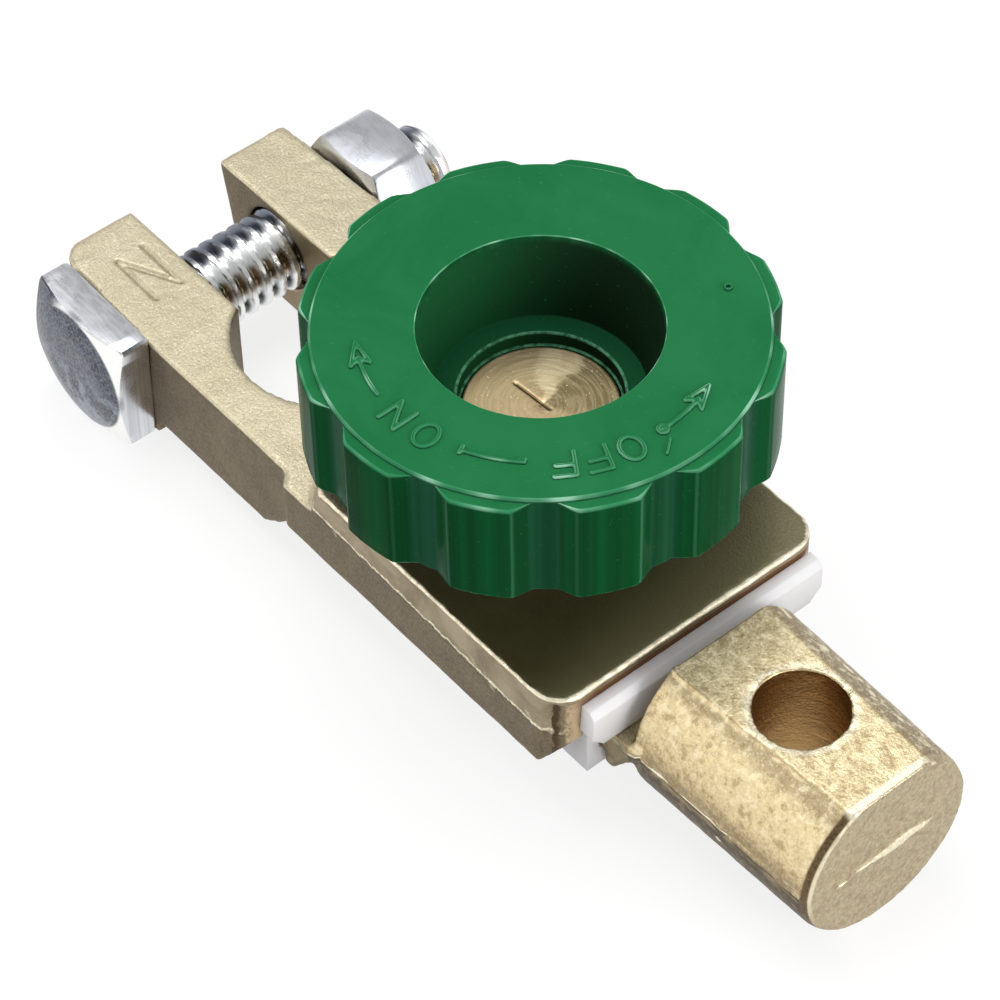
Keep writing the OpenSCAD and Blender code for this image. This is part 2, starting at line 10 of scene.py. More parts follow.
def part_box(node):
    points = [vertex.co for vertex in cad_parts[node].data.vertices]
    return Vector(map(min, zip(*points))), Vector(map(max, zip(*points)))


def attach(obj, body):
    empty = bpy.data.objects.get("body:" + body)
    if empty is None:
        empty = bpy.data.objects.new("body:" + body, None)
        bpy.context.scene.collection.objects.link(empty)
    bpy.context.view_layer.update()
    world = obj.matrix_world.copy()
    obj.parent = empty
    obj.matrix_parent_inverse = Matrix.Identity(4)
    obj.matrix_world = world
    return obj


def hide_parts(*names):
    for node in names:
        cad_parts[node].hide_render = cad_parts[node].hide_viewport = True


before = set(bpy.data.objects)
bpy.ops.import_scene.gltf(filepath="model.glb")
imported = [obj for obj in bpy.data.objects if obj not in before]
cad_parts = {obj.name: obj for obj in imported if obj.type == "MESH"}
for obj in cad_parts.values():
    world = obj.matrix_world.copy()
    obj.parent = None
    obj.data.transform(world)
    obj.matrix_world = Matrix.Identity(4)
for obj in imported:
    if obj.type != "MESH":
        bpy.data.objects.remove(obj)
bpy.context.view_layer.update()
scene = bpy.context.scene
scene.view_settings.view_transform = "Standard"

# All sizes below are in millimetres; meshes are scaled to metres as they are made.
MM = 0.001


def node_box(name):
    """Lowest and highest corner of a solid, in millimetres."""
    low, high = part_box(name)
    return np.array(low) / MM, np.array(high) / MM


# Sizes and places of the pieces, taken from the frame where it gives them

knob_low, knob_high = node_box("knob")
washer_low, washer_high = node_box("contact_washer")
stud_low, stud_high = node_box("contact_stud")
clamp_low, clamp_high = node_box("clamp_body")
post_low, post_high = node_box("cable_post")
bolt_low, bolt_high = node_box("pinch_bolt")
nut_low, nut_high = node_box("pinch_nut")

mark_rise = 0.3
knob_x = (washer_low[0] + washer_high[0]) / 2
knob_top = knob_high[2] - mark_rise
lobe_r = (knob_high[1] - knob_low[1]) / 2
bolt_x = (bolt_low[0] + bolt_high[0]) / 2
bolt_z = (nut_low[2] + nut_high[2]) / 2
cover_top = clamp_high[2]
cover_side = 14.5
cover_start = 12.0
barrel_end = post_high[0]
cover_end = barrel_end - 23.5

# Knob

lobe_depth = 1.1
rim_r = lobe_r - lobe_depth
lobe_count = 12
lobe_half_angle = 9.6
lobe_phase = 5.6
lobe_flank = 5.6
lobe_drop = 0.36
lobe_round = 0.4
knob_steps = 840
grip_h = 10.75
grip_low = knob_top - grip_h
hub_r = 10.8
hub_low = knob_low[2]
dish_r = 10.0
dish_low_r = 8.8
dish_floor = knob_top - 8.1
dish_ledge = knob_top - 7.4
stud_head_r = 6.5
stud_r = 6.0
stud_pitch = 1.75
stud_thread_depth = 0.85
stud_steps = 216
stud_scratch = ((-3.2, -0.05), (0.75, 0.22))
stud_scratch_depth = 0.09
flange_r = 9.5
flange_low = stud_low[2] + 13.82
flange_high = flange_low + 2.6
pocket_out_r = 16.05
pocket_in_r = 12.45
pocket_roof = knob_top - 3.4
rib_half = 1.0
crumb_angle = -150.0
crumb_spread = 32.0
dish_shade_at = math.radians(70)
spoke_highlight_at = math.radians(137)
spoke_shade_at = math.radians(85)

# Marks on the knob: letters stand with their tops outwards

mark_r = 14.8
mark_line = 0.44
off_out = 0.25
mark_root = 0.12
mark_voxel = 0.08
mark_step = 0.09
letter_h = 2.9
letter_w = 2.2
off_angles = (-12.4, -23.3, -33.4)
on_angles = (-76.9, -88.9)
dash_from, dash_to = -64.6, -45.0
off_arrow_from, off_arrow_to = -0.5, 22.5
on_arrow_from, on_arrow_to = -99.7, -122.6
arrow_head = 8.4
arrow_half_w = 0.8
off_tail = (-1.2, -5.4, 15.9, 17.0)
off_ring_r = 0.42
moulding_mark_angle, moulding_mark_r = 64.4, 15.5

# Castings

clamp_voxel = 0.3
post_voxel = 0.24
post_bore_r = 9.0
collar_top = 10.0
parting_z = 9.6
parting_x = 38.0
parting_slope = 0.044
parting_rise = 0.14
cable_z = 6.75
cable_root_x = cover_end + 3.1
cable_root_r = 9.1
cable_end_r = 8.65
flat_z = cable_z + 7.65
cross_r = 3.95
cross_x = cable_root_x + 9.8
flash_rise = 0.2
flash_z = 6.45
flash_middle = 1.2
flash_half_w = 3.6

# The stamped letter on the left ear

stamp_strokes = [((-19.1, -9.4), (-13.2, -9.5)), ((-19.2, -6.5), (-13.4, -6.6)),
                 ((-19.1, -9.4), (-13.4, -6.6))]
stamp_low, stamp_high = (-20.0, -10.3), (-12.4, -5.7)
stamp_line = 0.2
stamp_depth = 0.26
ear_slant = 0.17
ear_scratches = 26
scratch_depth = 0.045
scratch_line = 0.13
sharp_corner = (clamp_low[0] + 2.4, 10.3)

# Bolt and nut

bolt_r = 3.95
bolt_pitch = 1.6
bolt_thread_depth = 0.8
bolt_steps = 180
thread_run_out = 1.2
thread_rows_per_turn = 14
head_flats = 12.4
head_turn = 2.0
head_h = 4.2
head_face_r = 3.6
head_crown_r = 6.2
head_crown_drop = 0.5
head_corner_h = 2.7
bolt_tip = 0.8
nut_flats = nut_high[2] - nut_low[2]
nut_face_r = nut_flats / 2 - 0.2
nut_chamfer = 0.6

# Insulators, with the upper one's end wall

insulator_edge = 0.2
wall_rise = 0.5
wall_front_h = 2.0
wall_back_h = 2.6
near_end_y = -11.4
near_end_in = 0.9
near_end_lean = 0.08
near_end_z = 7.85


# Mesh making

def skin(rings, ends_meet=False):
    """Points and faces of a skin through rings of points; a ring of one point closes an end."""
    points = np.concatenate(rings)
    starts = np.cumsum([0] + [len(ring) for ring in rings])
    steps = [(i, i + 1) for i in range(len(rings) - 1)]
    if ends_meet:
        steps.append((len(rings) - 1, 0))
    faces = []
    for i, j in steps:
        a, b = int(starts[i]), int(starts[j])
        count = max(len(rings[i]), len(rings[j]))
        for k in range(count):
            m = (k + 1) % count
            if len(rings[i]) == 1:
                faces.append((a, b + k, b + m))
            elif len(rings[j]) == 1:
                faces.append((a + k, a + m, b))
            else:
                faces.append((a + k, a + m, b + m, b + k))
    return points, faces


def ring(angles, radius, height):
    """Points round the Z axis; radius may differ from angle to angle."""
    radius = np.broadcast_to(radius, angles.shape)
    height = np.broadcast_to(height, angles.shape)
    return np.column_stack([radius * np.cos(angles), radius * np.sin(angles), height])


def rings_through(angles, outline):
    """A ring for each radius and height of an outline."""
    return [ring(angles, radius, height) for radius, height in outline]


def pole(height):
    """Ring of one point on the axis."""
    return np.array([[0.0, 0.0, height]])


def round_angles(count):
    return np.arange(count) * (2 * math.pi / count)


def eased(outline, size, steps=3):
    """The outline with each inner corner cut back by size and rounded."""
    outline = [np.array(p, float) for p in outline]
    out = [outline[0]]
    for before, corner, after in zip(outline, outline[1:], outline[2:]):
        to_before, to_after = before - corner, after - corner
        back = min(size, 0.45 * np.linalg.norm(to_before))
        fore = min(size, 0.45 * np.linalg.norm(to_after))
        start = corner + to_before / np.linalg.norm(to_before) * back
        end = corner + to_after / np.linalg.norm(to_after) * fore
        for t in np.linspace(0, 1, steps + 1):
            out.append((1 - t) ** 2 * start + 2 * t * (1 - t) * corner + t * t * end)
    out.append(outline[-1])
    return out


def thread_rings(angles, major_r, depth, pitch, from_h, to_h):
    """Rings of a right-hand thread that fades at both ends."""
    rows = int(abs(to_h - from_h) / pitch * thread_rows_per_turn) + 1
    rings = []
    for height in np.linspace(from_h, to_h, rows):
        phase = (height / pitch - angles / (2 * math.pi)) % 1.0
        valley = np.clip(1.8 * (1 - np.abs(2 * phase - 1)) - 0.55, 0, 1)
        fade = min(1.0, abs(height - from_h) / thread_run_out, abs(height - to_h) / thread_run_out)
        rings.append(ring(angles, major_r - depth * valley * fade, height))
    return rings


def rework(mesh, change):
    """Lets change work on a mesh's points, edges and faces."""
    work = bmesh.new()
    work.from_mesh(mesh)
    change(work)
    work.to_mesh(mesh)
    work.free()


def mesh_of(name, points, faces):
    """Mesh in metres with its faces turned outwards."""
    mesh = bpy.data.meshes.new(name)
    mesh.from_pydata((np.asarray(points) * MM).tolist(), [], faces)
    rework(mesh, lambda work: bmesh.ops.recalc_face_normals(work, faces=work.faces))
    return mesh


def add_piece(name, mesh, body, material, replaced=(), sharp=35):
    """Links a finished mesh as a piece that rides on a body."""
    for polygon in mesh.polygons:
        polygon.use_smooth = True
    mesh.set_sharp_from_angle(angle=math.radians(sharp))
    piece = bpy.data.objects.new(name, mesh)
    scene.collection.objects.link(piece)
    mesh.materials.clear()
    mesh.materials.append(material)
    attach(piece, body)
    if replaced:
        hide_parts(*replaced)


def applied(mesh, *steps):
    """The mesh after modifiers, each given as a type and its settings."""
    holder = bpy.data.objects.new("holder", mesh)
    scene.collection.objects.link(holder)
    for kind, settings in steps:
        modifier = holder.modifiers.new(kind, kind)
        for key, value in settings.items():
            setattr(modifier, key, value)
    depsgraph = bpy.context.evaluated_depsgraph_get()
    result = bpy.data.meshes.new_from_object(holder.evaluated_get(depsgraph))
    bpy.data.objects.remove(holder)
    return result


def remeshed(mesh, voxel, passes):
    """The mesh rebuilt on a fine grid and smoothed, which softens its edges."""
    return applied(mesh, ("REMESH", {"mode": "VOXEL", "voxel_size": voxel}),
                   ("SMOOTH", {"factor": 0.5, "iterations": passes}))


def solid_copy(node):
    """Copy of a solid's mesh in millimetres, with its seams closed."""
    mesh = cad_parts[node].data.copy()
    mesh.transform(Matrix.Scale(1 / MM, 4))
    rework(mesh, lambda work: bmesh.ops.remove_doubles(work, verts=work.verts, dist=0.002))
    mesh.materials.clear()
    return mesh


def get_points(mesh):
    points = np.empty(len(mesh.vertices) * 3)
    mesh.vertices.foreach_get("co", points)
    return points.reshape(-1, 3)


def set_points(mesh, points):
    mesh.vertices.foreach_set("co", np.ascontiguousarray(points, np.float32).ravel())
    mesh.update()


def get_normals(mesh):
    normals = np.empty(len(mesh.vertices) * 3)
    mesh.vertex_normals.foreach_get("vector", normals)
    return normals.reshape(-1, 3)


def smooth_step(value, low, high):
    t = np.clip((value - low) / (high - low), 0, 1)
    return t * t * (3 - 2 * t)


def bell(value, width):
    """1 at zero, falling to nothing over about two widths."""
    return np.exp(-(value / width) ** 2)


def lumps(points, size, seed):
    """Smooth random values from -1 to 1 that change over about size millimetres."""
    cells = 40
    table = np.random.default_rng(seed).uniform(-1, 1, (cells, cells, cells))
    whole = np.floor(points / size).astype(int)
    part = smooth_step(points / size - whole, 0, 1)
    value = np.zeros(len(points))
    for corner in itertools.product((0, 1), repeat=3):
        weight = np.prod(np.where(np.array(corner) == 1, part, 1 - part), axis=1)
        i, j, k = ((whole + corner) % cells).T
        value += weight * table[i, j, k]
    return value


def from_stroke(points, start, end):
    """Distance of each point, seen from above, from a straight stroke."""
    start, end = np.array(start), np.array(end)
    along = end - start
    share = np.clip((points[:, :2] - start) @ along / (along @ along), 0, 1)
    return np.linalg.norm(points[:, :2] - start - share[:, None] * along, axis=1)


def finer(mesh, chosen):
    """Splits the faces whose middles are chosen, so that fine marks show there."""
    def halve(work):
        faces = [face for face in work.faces if chosen(face.calc_center_median())]
        edges = list({edge for face in faces for edge in face.edges})
        bmesh.ops.subdivide_edges(work, edges=edges, cuts=1, use_grid_fill=True)

    rework(mesh, halve)


# Shader building

class Shade:
    """A node's output, which varies over a surface; sums and products with it add maths nodes."""
    __array_ufunc__ = None

    def __init__(self, node, key=0):
        self.tree = node.id_data
        self.socket = node.outputs[key]

    def __add__(self, other):
        return maths("ADD", self, other)

    def __sub__(self, other):
        return maths("SUBTRACT", self, other)

    def __rsub__(self, other):
        return maths("SUBTRACT", other, self)

    def __mul__(self, other):
        return maths("MULTIPLY", self, other)

    def __abs__(self):
        return maths("ABSOLUTE", self)


def join(node, sockets):
    """Gives a node's sockets their values, or the outputs that feed them."""
    for key, value in sockets.items():
        if isinstance(value, Shade):
            value.tree.links.new(value.socket, node.inputs[key])
        else:
            node.inputs[key].default_value = value


def put(tree, kind, sockets=None, **settings):
    """Adds a node."""
    node = tree.nodes.new("ShaderNode" + kind)
    for key, value in settings.items():
        setattr(node, key, value)
    join(node, sockets or {})
    return node


def maths(operation, *values):
    tree = next(value.tree for value in values if isinstance(value, Shade))
    return Shade(put(tree, "Math", dict(enumerate(values)), operation=operation))


def ramped(value, low, high, start=None):
    """0 at low and 1 at high, both counted from start if it is given, with a soft change between them."""
    if start is not None:
        low, high = start + low, start + high
    sockets = {"Value": value, "From Min": low, "From Max": high}
    return Shade(put(value.tree, "MapRange", sockets, interpolation_type="SMOOTHSTEP"))


def scaled(value, low, high):
    """A mask spread from low to high."""
    return Shade(put(value.tree, "MapRange", {"Value": value, "To Min": low, "To Max": high}))


def blended(factor, first, second):
    """A colour between two, each one that varies or three numbers."""
    pair = [colour if isinstance(colour, Shade) else (*colour, 1) for colour in (first, second)]
    return Shade(put(factor.tree, "Mix", {0: factor, 6: pair[0], 7: pair[1]}, data_type="RGBA"), 2)


def noise(place, scale, **settings):
    """Noise over a place, which may be a tuple of one to three values."""
    if isinstance(place, tuple):
        place = Shade(put(place[0].tree, "CombineXYZ", dict(enumerate(place))))
    return Shade(put(place.tree, "TexNoise", {"Vector": place, "Scale": scale, **settings}))


def split(vector):
    parts = put(vector.tree, "SeparateXYZ", {0: vector})
    return [Shade(parts, axis) for axis in range(3)]


def own_place(tree):
    """Place on the surface in the part's own frame."""
    return Shade(put(tree, "TexCoord"), "Object")


def place_in_mm(tree):
    """X, Y and Z of the surface in the part's own frame, in millimetres."""
    sockets = {0: own_place(tree), 1: (1 / MM,) * 3}
    return split(Shade(put(tree, "VectorMath", sockets, operation="MULTIPLY")))


def lie(tree):
    """X, Y and Z of the surface's direction in the part's own frame."""
    return split(Shade(put(tree, "TexCoord"), "Normal"))


def reach(first, second, middle):
    """Distance from an axis that passes through middle."""
    a, b = first - middle[0], second - middle[1]
    return maths("SQRT", a * a + b * b)


def make_group(name, usual, fill):
    """Shader node group; usual names its inputs with their values, and fill makes its outputs."""
    tree = bpy.data.node_groups.new(name, "ShaderNodeTree")
    for label, value in usual.items():
        socket = tree.interface.new_socket(name=label, in_out="INPUT", socket_type="NodeSocketFloat")
        socket.default_value = value
    given = tree.nodes.new("NodeGroupInput")
    outputs = fill(tree, *[Shade(given, label) for label in usual])
    for label in outputs:
        tree.interface.new_socket(name=label, in_out="OUTPUT", socket_type="NodeSocketFloat")
    join(tree.nodes.new("NodeGroupOutput"), outputs)
    return tree


def fill_grain(tree, per_mm, speck_start):
    """Fine grain: its height, an even tone and scattered specks."""
    place = own_place(tree)
    scale = maths("DIVIDE", per_mm, MM)
    coarse = noise(place, scale, Detail=3.0, Roughness=0.6)
    fine = noise(place, scale * 1.9, Detail=1.0, Distortion=0.4)
    speck = ramped(fine, speck_start, speck_start + 0.08)
    return {"Height": coarse, "Tone": ramped(coarse, 0.34, 0.66), "Speck": speck}


def fill_patches(tree, per_mm, cover):
    """Uneven patches: a soft tone and a mask with firmer edges."""
    scale = maths("DIVIDE", per_mm, MM)
    cloud = noise(own_place(tree), scale, Detail=4.0, Roughness=0.62, Distortion=0.6)
    patch = ramped(cloud - scaled(cover, 0.75, 0.25), -0.04, 0.06)
    return {"Tone": ramped(cloud, 0.3, 0.7), "Patch": patch}


def fill_wear(tree, edge_start, hollow_start):
    """Proud edges that rub bright, and hollows that take painted shade."""
    bend = Shade(put(tree, "NewGeometry"), "Pointiness")
    return {"Edge": ramped(bend, edge_start, edge_start + 0.06),
            "Hollow": ramped(bend, hollow_start, hollow_start - 0.06)}


def fill_lie(tree, steep, level):
    """How a surface lies: facing up, or leaning as a rounded edge does."""
    up = lie(tree)[2]
    return {"Up": ramped(up, steep, level), "Lean": ramped(up, 0.2, 0.42) * ramped(up, 0.98, 0.9)}


fine_grain = make_group("fine_grain", {"Grains per mm": 2.0, "Speck Start": 0.62}, fill_grain)
patches = make_group("patches", {"Patches per mm": 0.3, "Cover": 0.5}, fill_patches)
edge_wear = make_group("edge_wear", {"Edge Start": 0.52, "Hollow Start": 0.48}, fill_wear)
lie_of_surface = make_group("lie_of_surface", {"Steep": 0.12, "Level": 0.6}, fill_lie)


def named(values):
    """Sockets from keywords, in which underscores stand for spaces."""
    return {key.replace("_", " "): value for key, value in values.items()}


def use(tree, group, **values):
    """Places a shared effect in a material and returns its outputs."""
    node = put(tree, "Group", named(values), node_tree=group)
    return [Shade(node, key) for key in range(len(node.outputs))]


def start_material(name):
    material = bpy.data.materials.new(name)
    material.use_nodes = True
    return material, material.node_tree


def finished(material, colour, roughness, height, depth, **others):
    """The material with its shader's sockets joined; depth is the bump's in millimetres."""
    tree = material.node_tree
    bump = put(tree, "Bump", {"Height": height, "Distance": depth * MM})
    join(tree.nodes["Principled BSDF"], {"Base Color": colour, "Roughness": roughness,
                                         "Normal": Shade(bump, "Normal"), **named(others)})
    return material


# Brass castings

def casting_base(tree, steep_dark, steep_light, level_dark, level_light):
    """Colour of as-cast brass with a grainy skin, in painted light where it faces up and in painted shade on
    steep faces.
    """
    grain = use(tree, fine_grain, Grains_per_mm=3.6, Speck_Start=0.62)
    cloud = use(tree, patches, Patches_per_mm=0.22)[0]
    facing = use(tree, lie_of_surface, Steep=0.1, Level=0.6)
    uneven = grain[1] * 0.6 + cloud * 0.4
    # Steep faces take painted shade and level ones painted light
    steep = blended(uneven, steep_dark, steep_light)
    level = blended(uneven, level_dark, level_light)
    return grain, cloud, facing, blended(facing[0], steep, level)


def make_clamp_brass():
    material, tree = start_material("cast_brass_clamp")
    x, y, z = place_in_mm(tree)
    across, up = lie(tree)[1:]
    # Colours for steep faces in painted shade, then for level ones in painted light
    (height, tone, speck), cloud, (upward, lean), colour = casting_base(
        tree, (0.122, 0.094, 0.058), (0.222, 0.178, 0.113), (0.52, 0.455, 0.305), (0.67, 0.61, 0.445))
    edge, hollow_shade = use(tree, edge_wear, Edge_Start=0.53, Hollow_Start=0.485)
    wander = use(tree, patches, Patches_per_mm=0.9)[0]
    # On the cover's walls the parting line has a painted highlight, the wall is paler above it and a line of
    # painted shade runs below it
    line_z = x * -parting_slope + (parting_z + parting_slope * parting_x)
    above = wander * 0.3 + (z - line_z) - 0.15
    wall = ramped(x, -1.5, 0.5, cover_start) * (1.0 - upward)
    upper_band = blended(cloud, (0.24, 0.19, 0.12), (0.40, 0.335, 0.225))
    colour = blended(wall * ramped(above, -0.1, 0.3), colour, upper_band)
    parting_shade = ramped(abs(above + 0.3), 0.22, 0.05)
    colour = blended(wall * parting_shade * 0.45, colour, (0.10, 0.075, 0.04))
    parting_highlight = wall * ramped(abs(above), 0.2, 0.06) * scaled(tone, 0.45, 1.0)
    colour = blended(parting_highlight, colour, (0.95, 0.86, 0.64))
    # The cover's top is smooth and carries a painted dark reflection, a little paler by its end
    painted_reflection_top = ramped(up, 0.86, 0.97) * ramped(z, -0.5, -0.25, cover_top)
    stain = use(tree, patches, Patches_per_mm=0.35)[0]
    olive = blended(stain, (0.068, 0.058, 0.023), (0.078, 0.068, 0.029))
    paler_end = ramped(y * 0.25 + x, cover_end - 9, cover_end + 2)
    olive = blended(paler_end, olive, (0.22, 0.20, 0.105))
    colour = blended(painted_reflection_top, colour, olive)
    # Rounded edges have a painted highlight and proud edges are rubbed bright, apart from the cover's end,
    # which is coppery below its edge
    rubbed_and_highlit = lean * ramped(z, 0.5, 1.2, collar_top)
    rubbed_and_highlit = maths("MAXIMUM", rubbed_and_highlit, edge * 0.3)
    ragged = scaled(ramped(wander, 0.2, 0.75), 0.45, 1.0)
    colour = blended(rubbed_and_highlit * ragged, colour, (0.95, 0.86, 0.66))
    end_band = ramped(x, -0.5, -0.3, cover_end) * ramped(z, -0.65, -0.85, cover_top)
    coppery = ramped(z, -1.6, -1.3, cover_top) * ramped(y, 1.2 - cover_side, 4.5 - cover_side)
    colour = blended(end_band, colour, blended(coppery, (0.56, 0.43, 0.27), (0.25, 0.125, 0.055)))
    # The near corner under the cover's end has a crease darkened with painted shade, with torn metal on its
    # right
    past_corner = wander * 0.5 + (x + y + (cover_side - cover_end))
    by_corner = ramped(z, 5.0, 6.0) * ramped(z, -0.5, -0.8, cover_top) * ramped(y, -8.0, -10.0)
    torn = ramped(past_corner, 0.0, 0.3) * ramped(past_corner, 2.3, 1.5)
    torn = torn * ramped(tone, 0.75, 0.25) * by_corner
    colour = blended(torn * 0.65, colour, (0.20, 0.15, 0.08))
    crease = ramped(past_corner, -0.35, -0.15) * ramped(past_corner, 0.95, 0.15) * by_corner
    colour = blended(crease, colour, (0.085, 0.055, 0.028))
    # Inside the gap painted light makes the far ear's wall paler towards the battery post
    inner_wall = ramped(across, -0.5, -0.8) * ramped(y, 2.0, 4.0) * ramped(x, -20.0, -10.0)
    colour = blended(inner_wall * ramped(x, 0.0, -4.0) * 0.6, colour, (0.50, 0.40, 0.25))
    # Specks, and painted shade in hollows
    colour = blended(speck * (upward - painted_reflection_top) * 0.5, colour, (1.0, 0.95, 0.82))
    colour = blended(hollow_shade * 0.6, colour, (0.10, 0.07, 0.04))
    return finished(material, colour, scaled(painted_reflection_top, 0.5, 0.3), height, 0.05,
                    Metallic=scaled(painted_reflection_top, 1.0, 0.3))


def make_post_brass():
    material, tree = start_material("cast_brass_post")
    x, y, z = place_in_mm(tree)
    along, across, up = lie(tree)
    # Colours for steep faces in painted shade, then for level ones in painted light
    (height, tone, speck), cloud, (upward, _), colour = casting_base(
        tree, (0.27, 0.20, 0.11), (0.50, 0.40, 0.235), (0.56, 0.45, 0.255), (0.86, 0.73, 0.46))
    edge, hollow_shade = use(tree, edge_wear, Edge_Start=0.53, Hollow_Start=0.485)
    # Painted light on the barrel: a darker band beside the flat, a yellow painted highlight on the near
    # shoulder, painted shade on the far side and dark painted shade underneath
    beside_flat = ramped(up, 0.66, 0.80) * ramped(up, 0.985, 0.95)
    colour = blended(beside_flat * 0.75, colour, (0.47, 0.37, 0.21))
    near_side = ramped(across, 0.3, -0.2)
    far_side_shade = blended(tone, (0.27, 0.21, 0.13), (0.46, 0.38, 0.25))
    colour = blended((1.0 - near_side) * ramped(up, 0.97, 0.8), colour, far_side_shade)
    shoulder = near_side * ramped(up, 0.05, 0.35) * ramped(up, 0.82, 0.66)
    colour = blended(shoulder * scaled(tone, 0.45, 1.0), colour, (0.82, 0.67, 0.385))
    colour = blended(ramped(up, -0.02, -0.12), colour, (0.09, 0.068, 0.036))
    # Pale blotches, brown pits, a broken painted highlight on the ridge where the mould's halves met, and
    # painted shade by the root
    mottle = use(tree, fine_grain, Grains_per_mm=1.15, Speck_Start=0.56)[0]
    pale = ramped(mottle, 0.5, 0.66) * upward
    colour = blended(pale * 0.62, colour, (1.0, 0.88, 0.60))
    colour = blended(ramped(mottle, 0.47, 0.36) * 0.5, colour, (0.33, 0.23, 0.105))
    ridge_highlight = near_side * ramped(abs(up - 0.03), 0.05, 0.015) * ramped(cloud, 0.35, 0.6)
    colour = blended(ridge_highlight, colour, (1.0, 0.95, 0.76))
    root = ramped(x, 0.2, -0.2, cable_root_x) * ramped(y, -6.0, -8.0)
    colour = blended(root * 0.7, colour, (0.20, 0.17, 0.09))
    # The end is dull and brown in places, and the flash across it is bright, with painted shade on its lower
    # side
    end_tone = blended(tone, (0.42, 0.345, 0.215), (0.56, 0.475, 0.315))
    end_tone = blended(ramped(mottle, 0.5, 0.36) * 0.5, end_tone, (0.34, 0.25, 0.155))
    end_face = ramped(x, -0.28, -0.12, barrel_end - flash_rise)
    colour = blended(end_face, colour, end_tone)
    flash_underside_shade = ramped(x, -0.2, -0.14, barrel_end) * ramped(up, -0.1, -0.35)
    colour = blended(flash_underside_shade * 0.8, colour, (0.12, 0.085, 0.045))
    on_flash = ramped(x, -0.13, -0.06, barrel_end) * ramped(along, 0.6, 0.9)
    colour = blended(on_flash * scaled(tone, 0.6, 0.95), colour, (1.0, 0.92, 0.70))
    # The end's bevel has painted shade on the near side, a painted highlight along the flat and the end's
    # plain tone beyond it
    bevel = (1.0 - end_face) * ramped(x, -1.12, -0.9, barrel_end)
    shaded_bevel = blended(tone, (0.115, 0.075, 0.037), (0.19, 0.13, 0.07))
    bevel_tone = blended(ramped(y, -4.6, -4.1), shaded_bevel, (1.0, 0.93, 0.70))
    bevel_tone = blended(ramped(y, 3.9, 4.5), bevel_tone, end_tone)
    # A painted highlight runs as a line inside the shaded part of the bevel
    from_axis = reach(y, z, (0.0, cable_z))
    inner_edge_highlight = (end_face * ramped(from_axis, -0.62, -0.45, cable_end_r)
                  * ramped(z, -4.0, 1.0, cable_z) * ramped(y, 0.0, -3.0))
    colour = blended(inner_edge_highlight * 0.6, colour, (1.0, 0.92, 0.70))
    # Inside the cross hole the drill left golden brown rings, and painted light brightens the wall on the
    # side towards the root
    from_hole = reach(x, y, (cross_x, 0.0))
    in_hole = ramped(from_hole, 0.5, 0.1, cross_r) * ramped(abs(up), 0.75, 0.5)
    drilled = noise((x, y, z * 7.0), 0.35, Detail=4.0, Roughness=0.7)
    golden = blended(ramped(drilled, 0.35, 0.68), (0.22, 0.12, 0.036), (0.48, 0.295, 0.105))
    golden = blended(ramped(x, 0.5, -3.0, cross_x) * 0.35, golden, (0.75, 0.49, 0.20))
    colour = blended(in_hole, colour, golden)
    # Dark specks near the root, chips round the hole, painted shade in hollows, bright rubbed edges
    on_flat = ramped(up, 0.9, 0.98)
    root_flat = ramped(x, 5.5, 0.0, cable_root_x) * on_flat
    speckle = use(tree, fine_grain, Grains_per_mm=1.7, Speck_Start=0.5)[2]
    colour = blended(root_flat * speckle * 0.45, colour, (0.26, 0.22, 0.11))
    chips = on_flat * ramped(from_hole, 1.0, 0.4, cross_r) * scaled(tone, 0.3, 1.0)
    colour = blended(chips * 0.7, colour, (1.0, 0.94, 0.76))
    colour = blended(hollow_shade * 0.7, colour, (0.12, 0.08, 0.035))
    colour = blended(edge * 0.65, colour, (1.0, 0.92, 0.68))
    colour = blended(speck * upward * 0.5, colour, (1.0, 0.93, 0.72))
    # The bevel's painted shade and highlight go on last
    colour = blended(bevel, colour, bevel_tone)
    roughness = scaled(maths("MAXIMUM", edge, in_hole), 0.48, 0.34)
    return finished(material, colour, roughness, height, 0.055, Metallic=scaled(root_flat, 1.0, 0.5))


# Other finishes

def make_turned_brass():
    """Lathe-turned brass: long arcs of the tool, a broad spoke of painted highlight and one of painted
    shade, and a few pits.
    """
    material, tree = start_material("turned_brass")
    x, y, z = place_in_mm(tree)
    from_middle = x - knob_x
    angle = maths("ARCTAN2", y, from_middle)
    arcs = noise((reach(x, y, (knob_x, 0.0)), angle * 0.4), 4.0, Detail=3.0)
    cloud, patch = use(tree, patches, Patches_per_mm=0.25, Cover=0.35)
    # The turned face's painted reflection: a bright spoke and a dull one round the middle
    waver = cloud * 0.5 + angle
    bright = maths("COSINE", waver - spoke_highlight_at)
    dull = maths("COSINE", waver - spoke_shade_at)
    colour = blended(ramped(dull, 0.55, 0.95), (0.46, 0.355, 0.20), (0.235, 0.19, 0.095))
    colour = blended(ramped(bright, 0.90, 0.999) * 0.8, colour, (0.78, 0.66, 0.42))
    colour = blended(ramped(arcs, 0.42, 0.62) * 0.3, colour, (0.68, 0.55, 0.34))
    colour = blended(patch * 0.25, colour, (0.44, 0.27, 0.15))
    speck = use(tree, fine_grain, Grains_per_mm=2.2, Speck_Start=0.68)[2]
    colour = blended(speck * 0.6, colour, (1.0, 0.95, 0.8))
    # The scratch across the stud's end is darker
    off_line = abs(y - (from_middle * 0.068 + 0.17))
    in_scratch = (ramped(off_line, 0.17, 0.08) * ramped(from_middle, -3.3, -3.0)
                  * ramped(from_middle, 0.9, 0.7) * ramped(z, -0.5, -0.3, stud_high[2]))
    colour = blended(in_scratch * 0.85, colour, (0.13, 0.085, 0.04))
    return finished(material, colour, scaled(arcs, 0.34, 0.50), arcs, 0.012, Metallic=1.0)


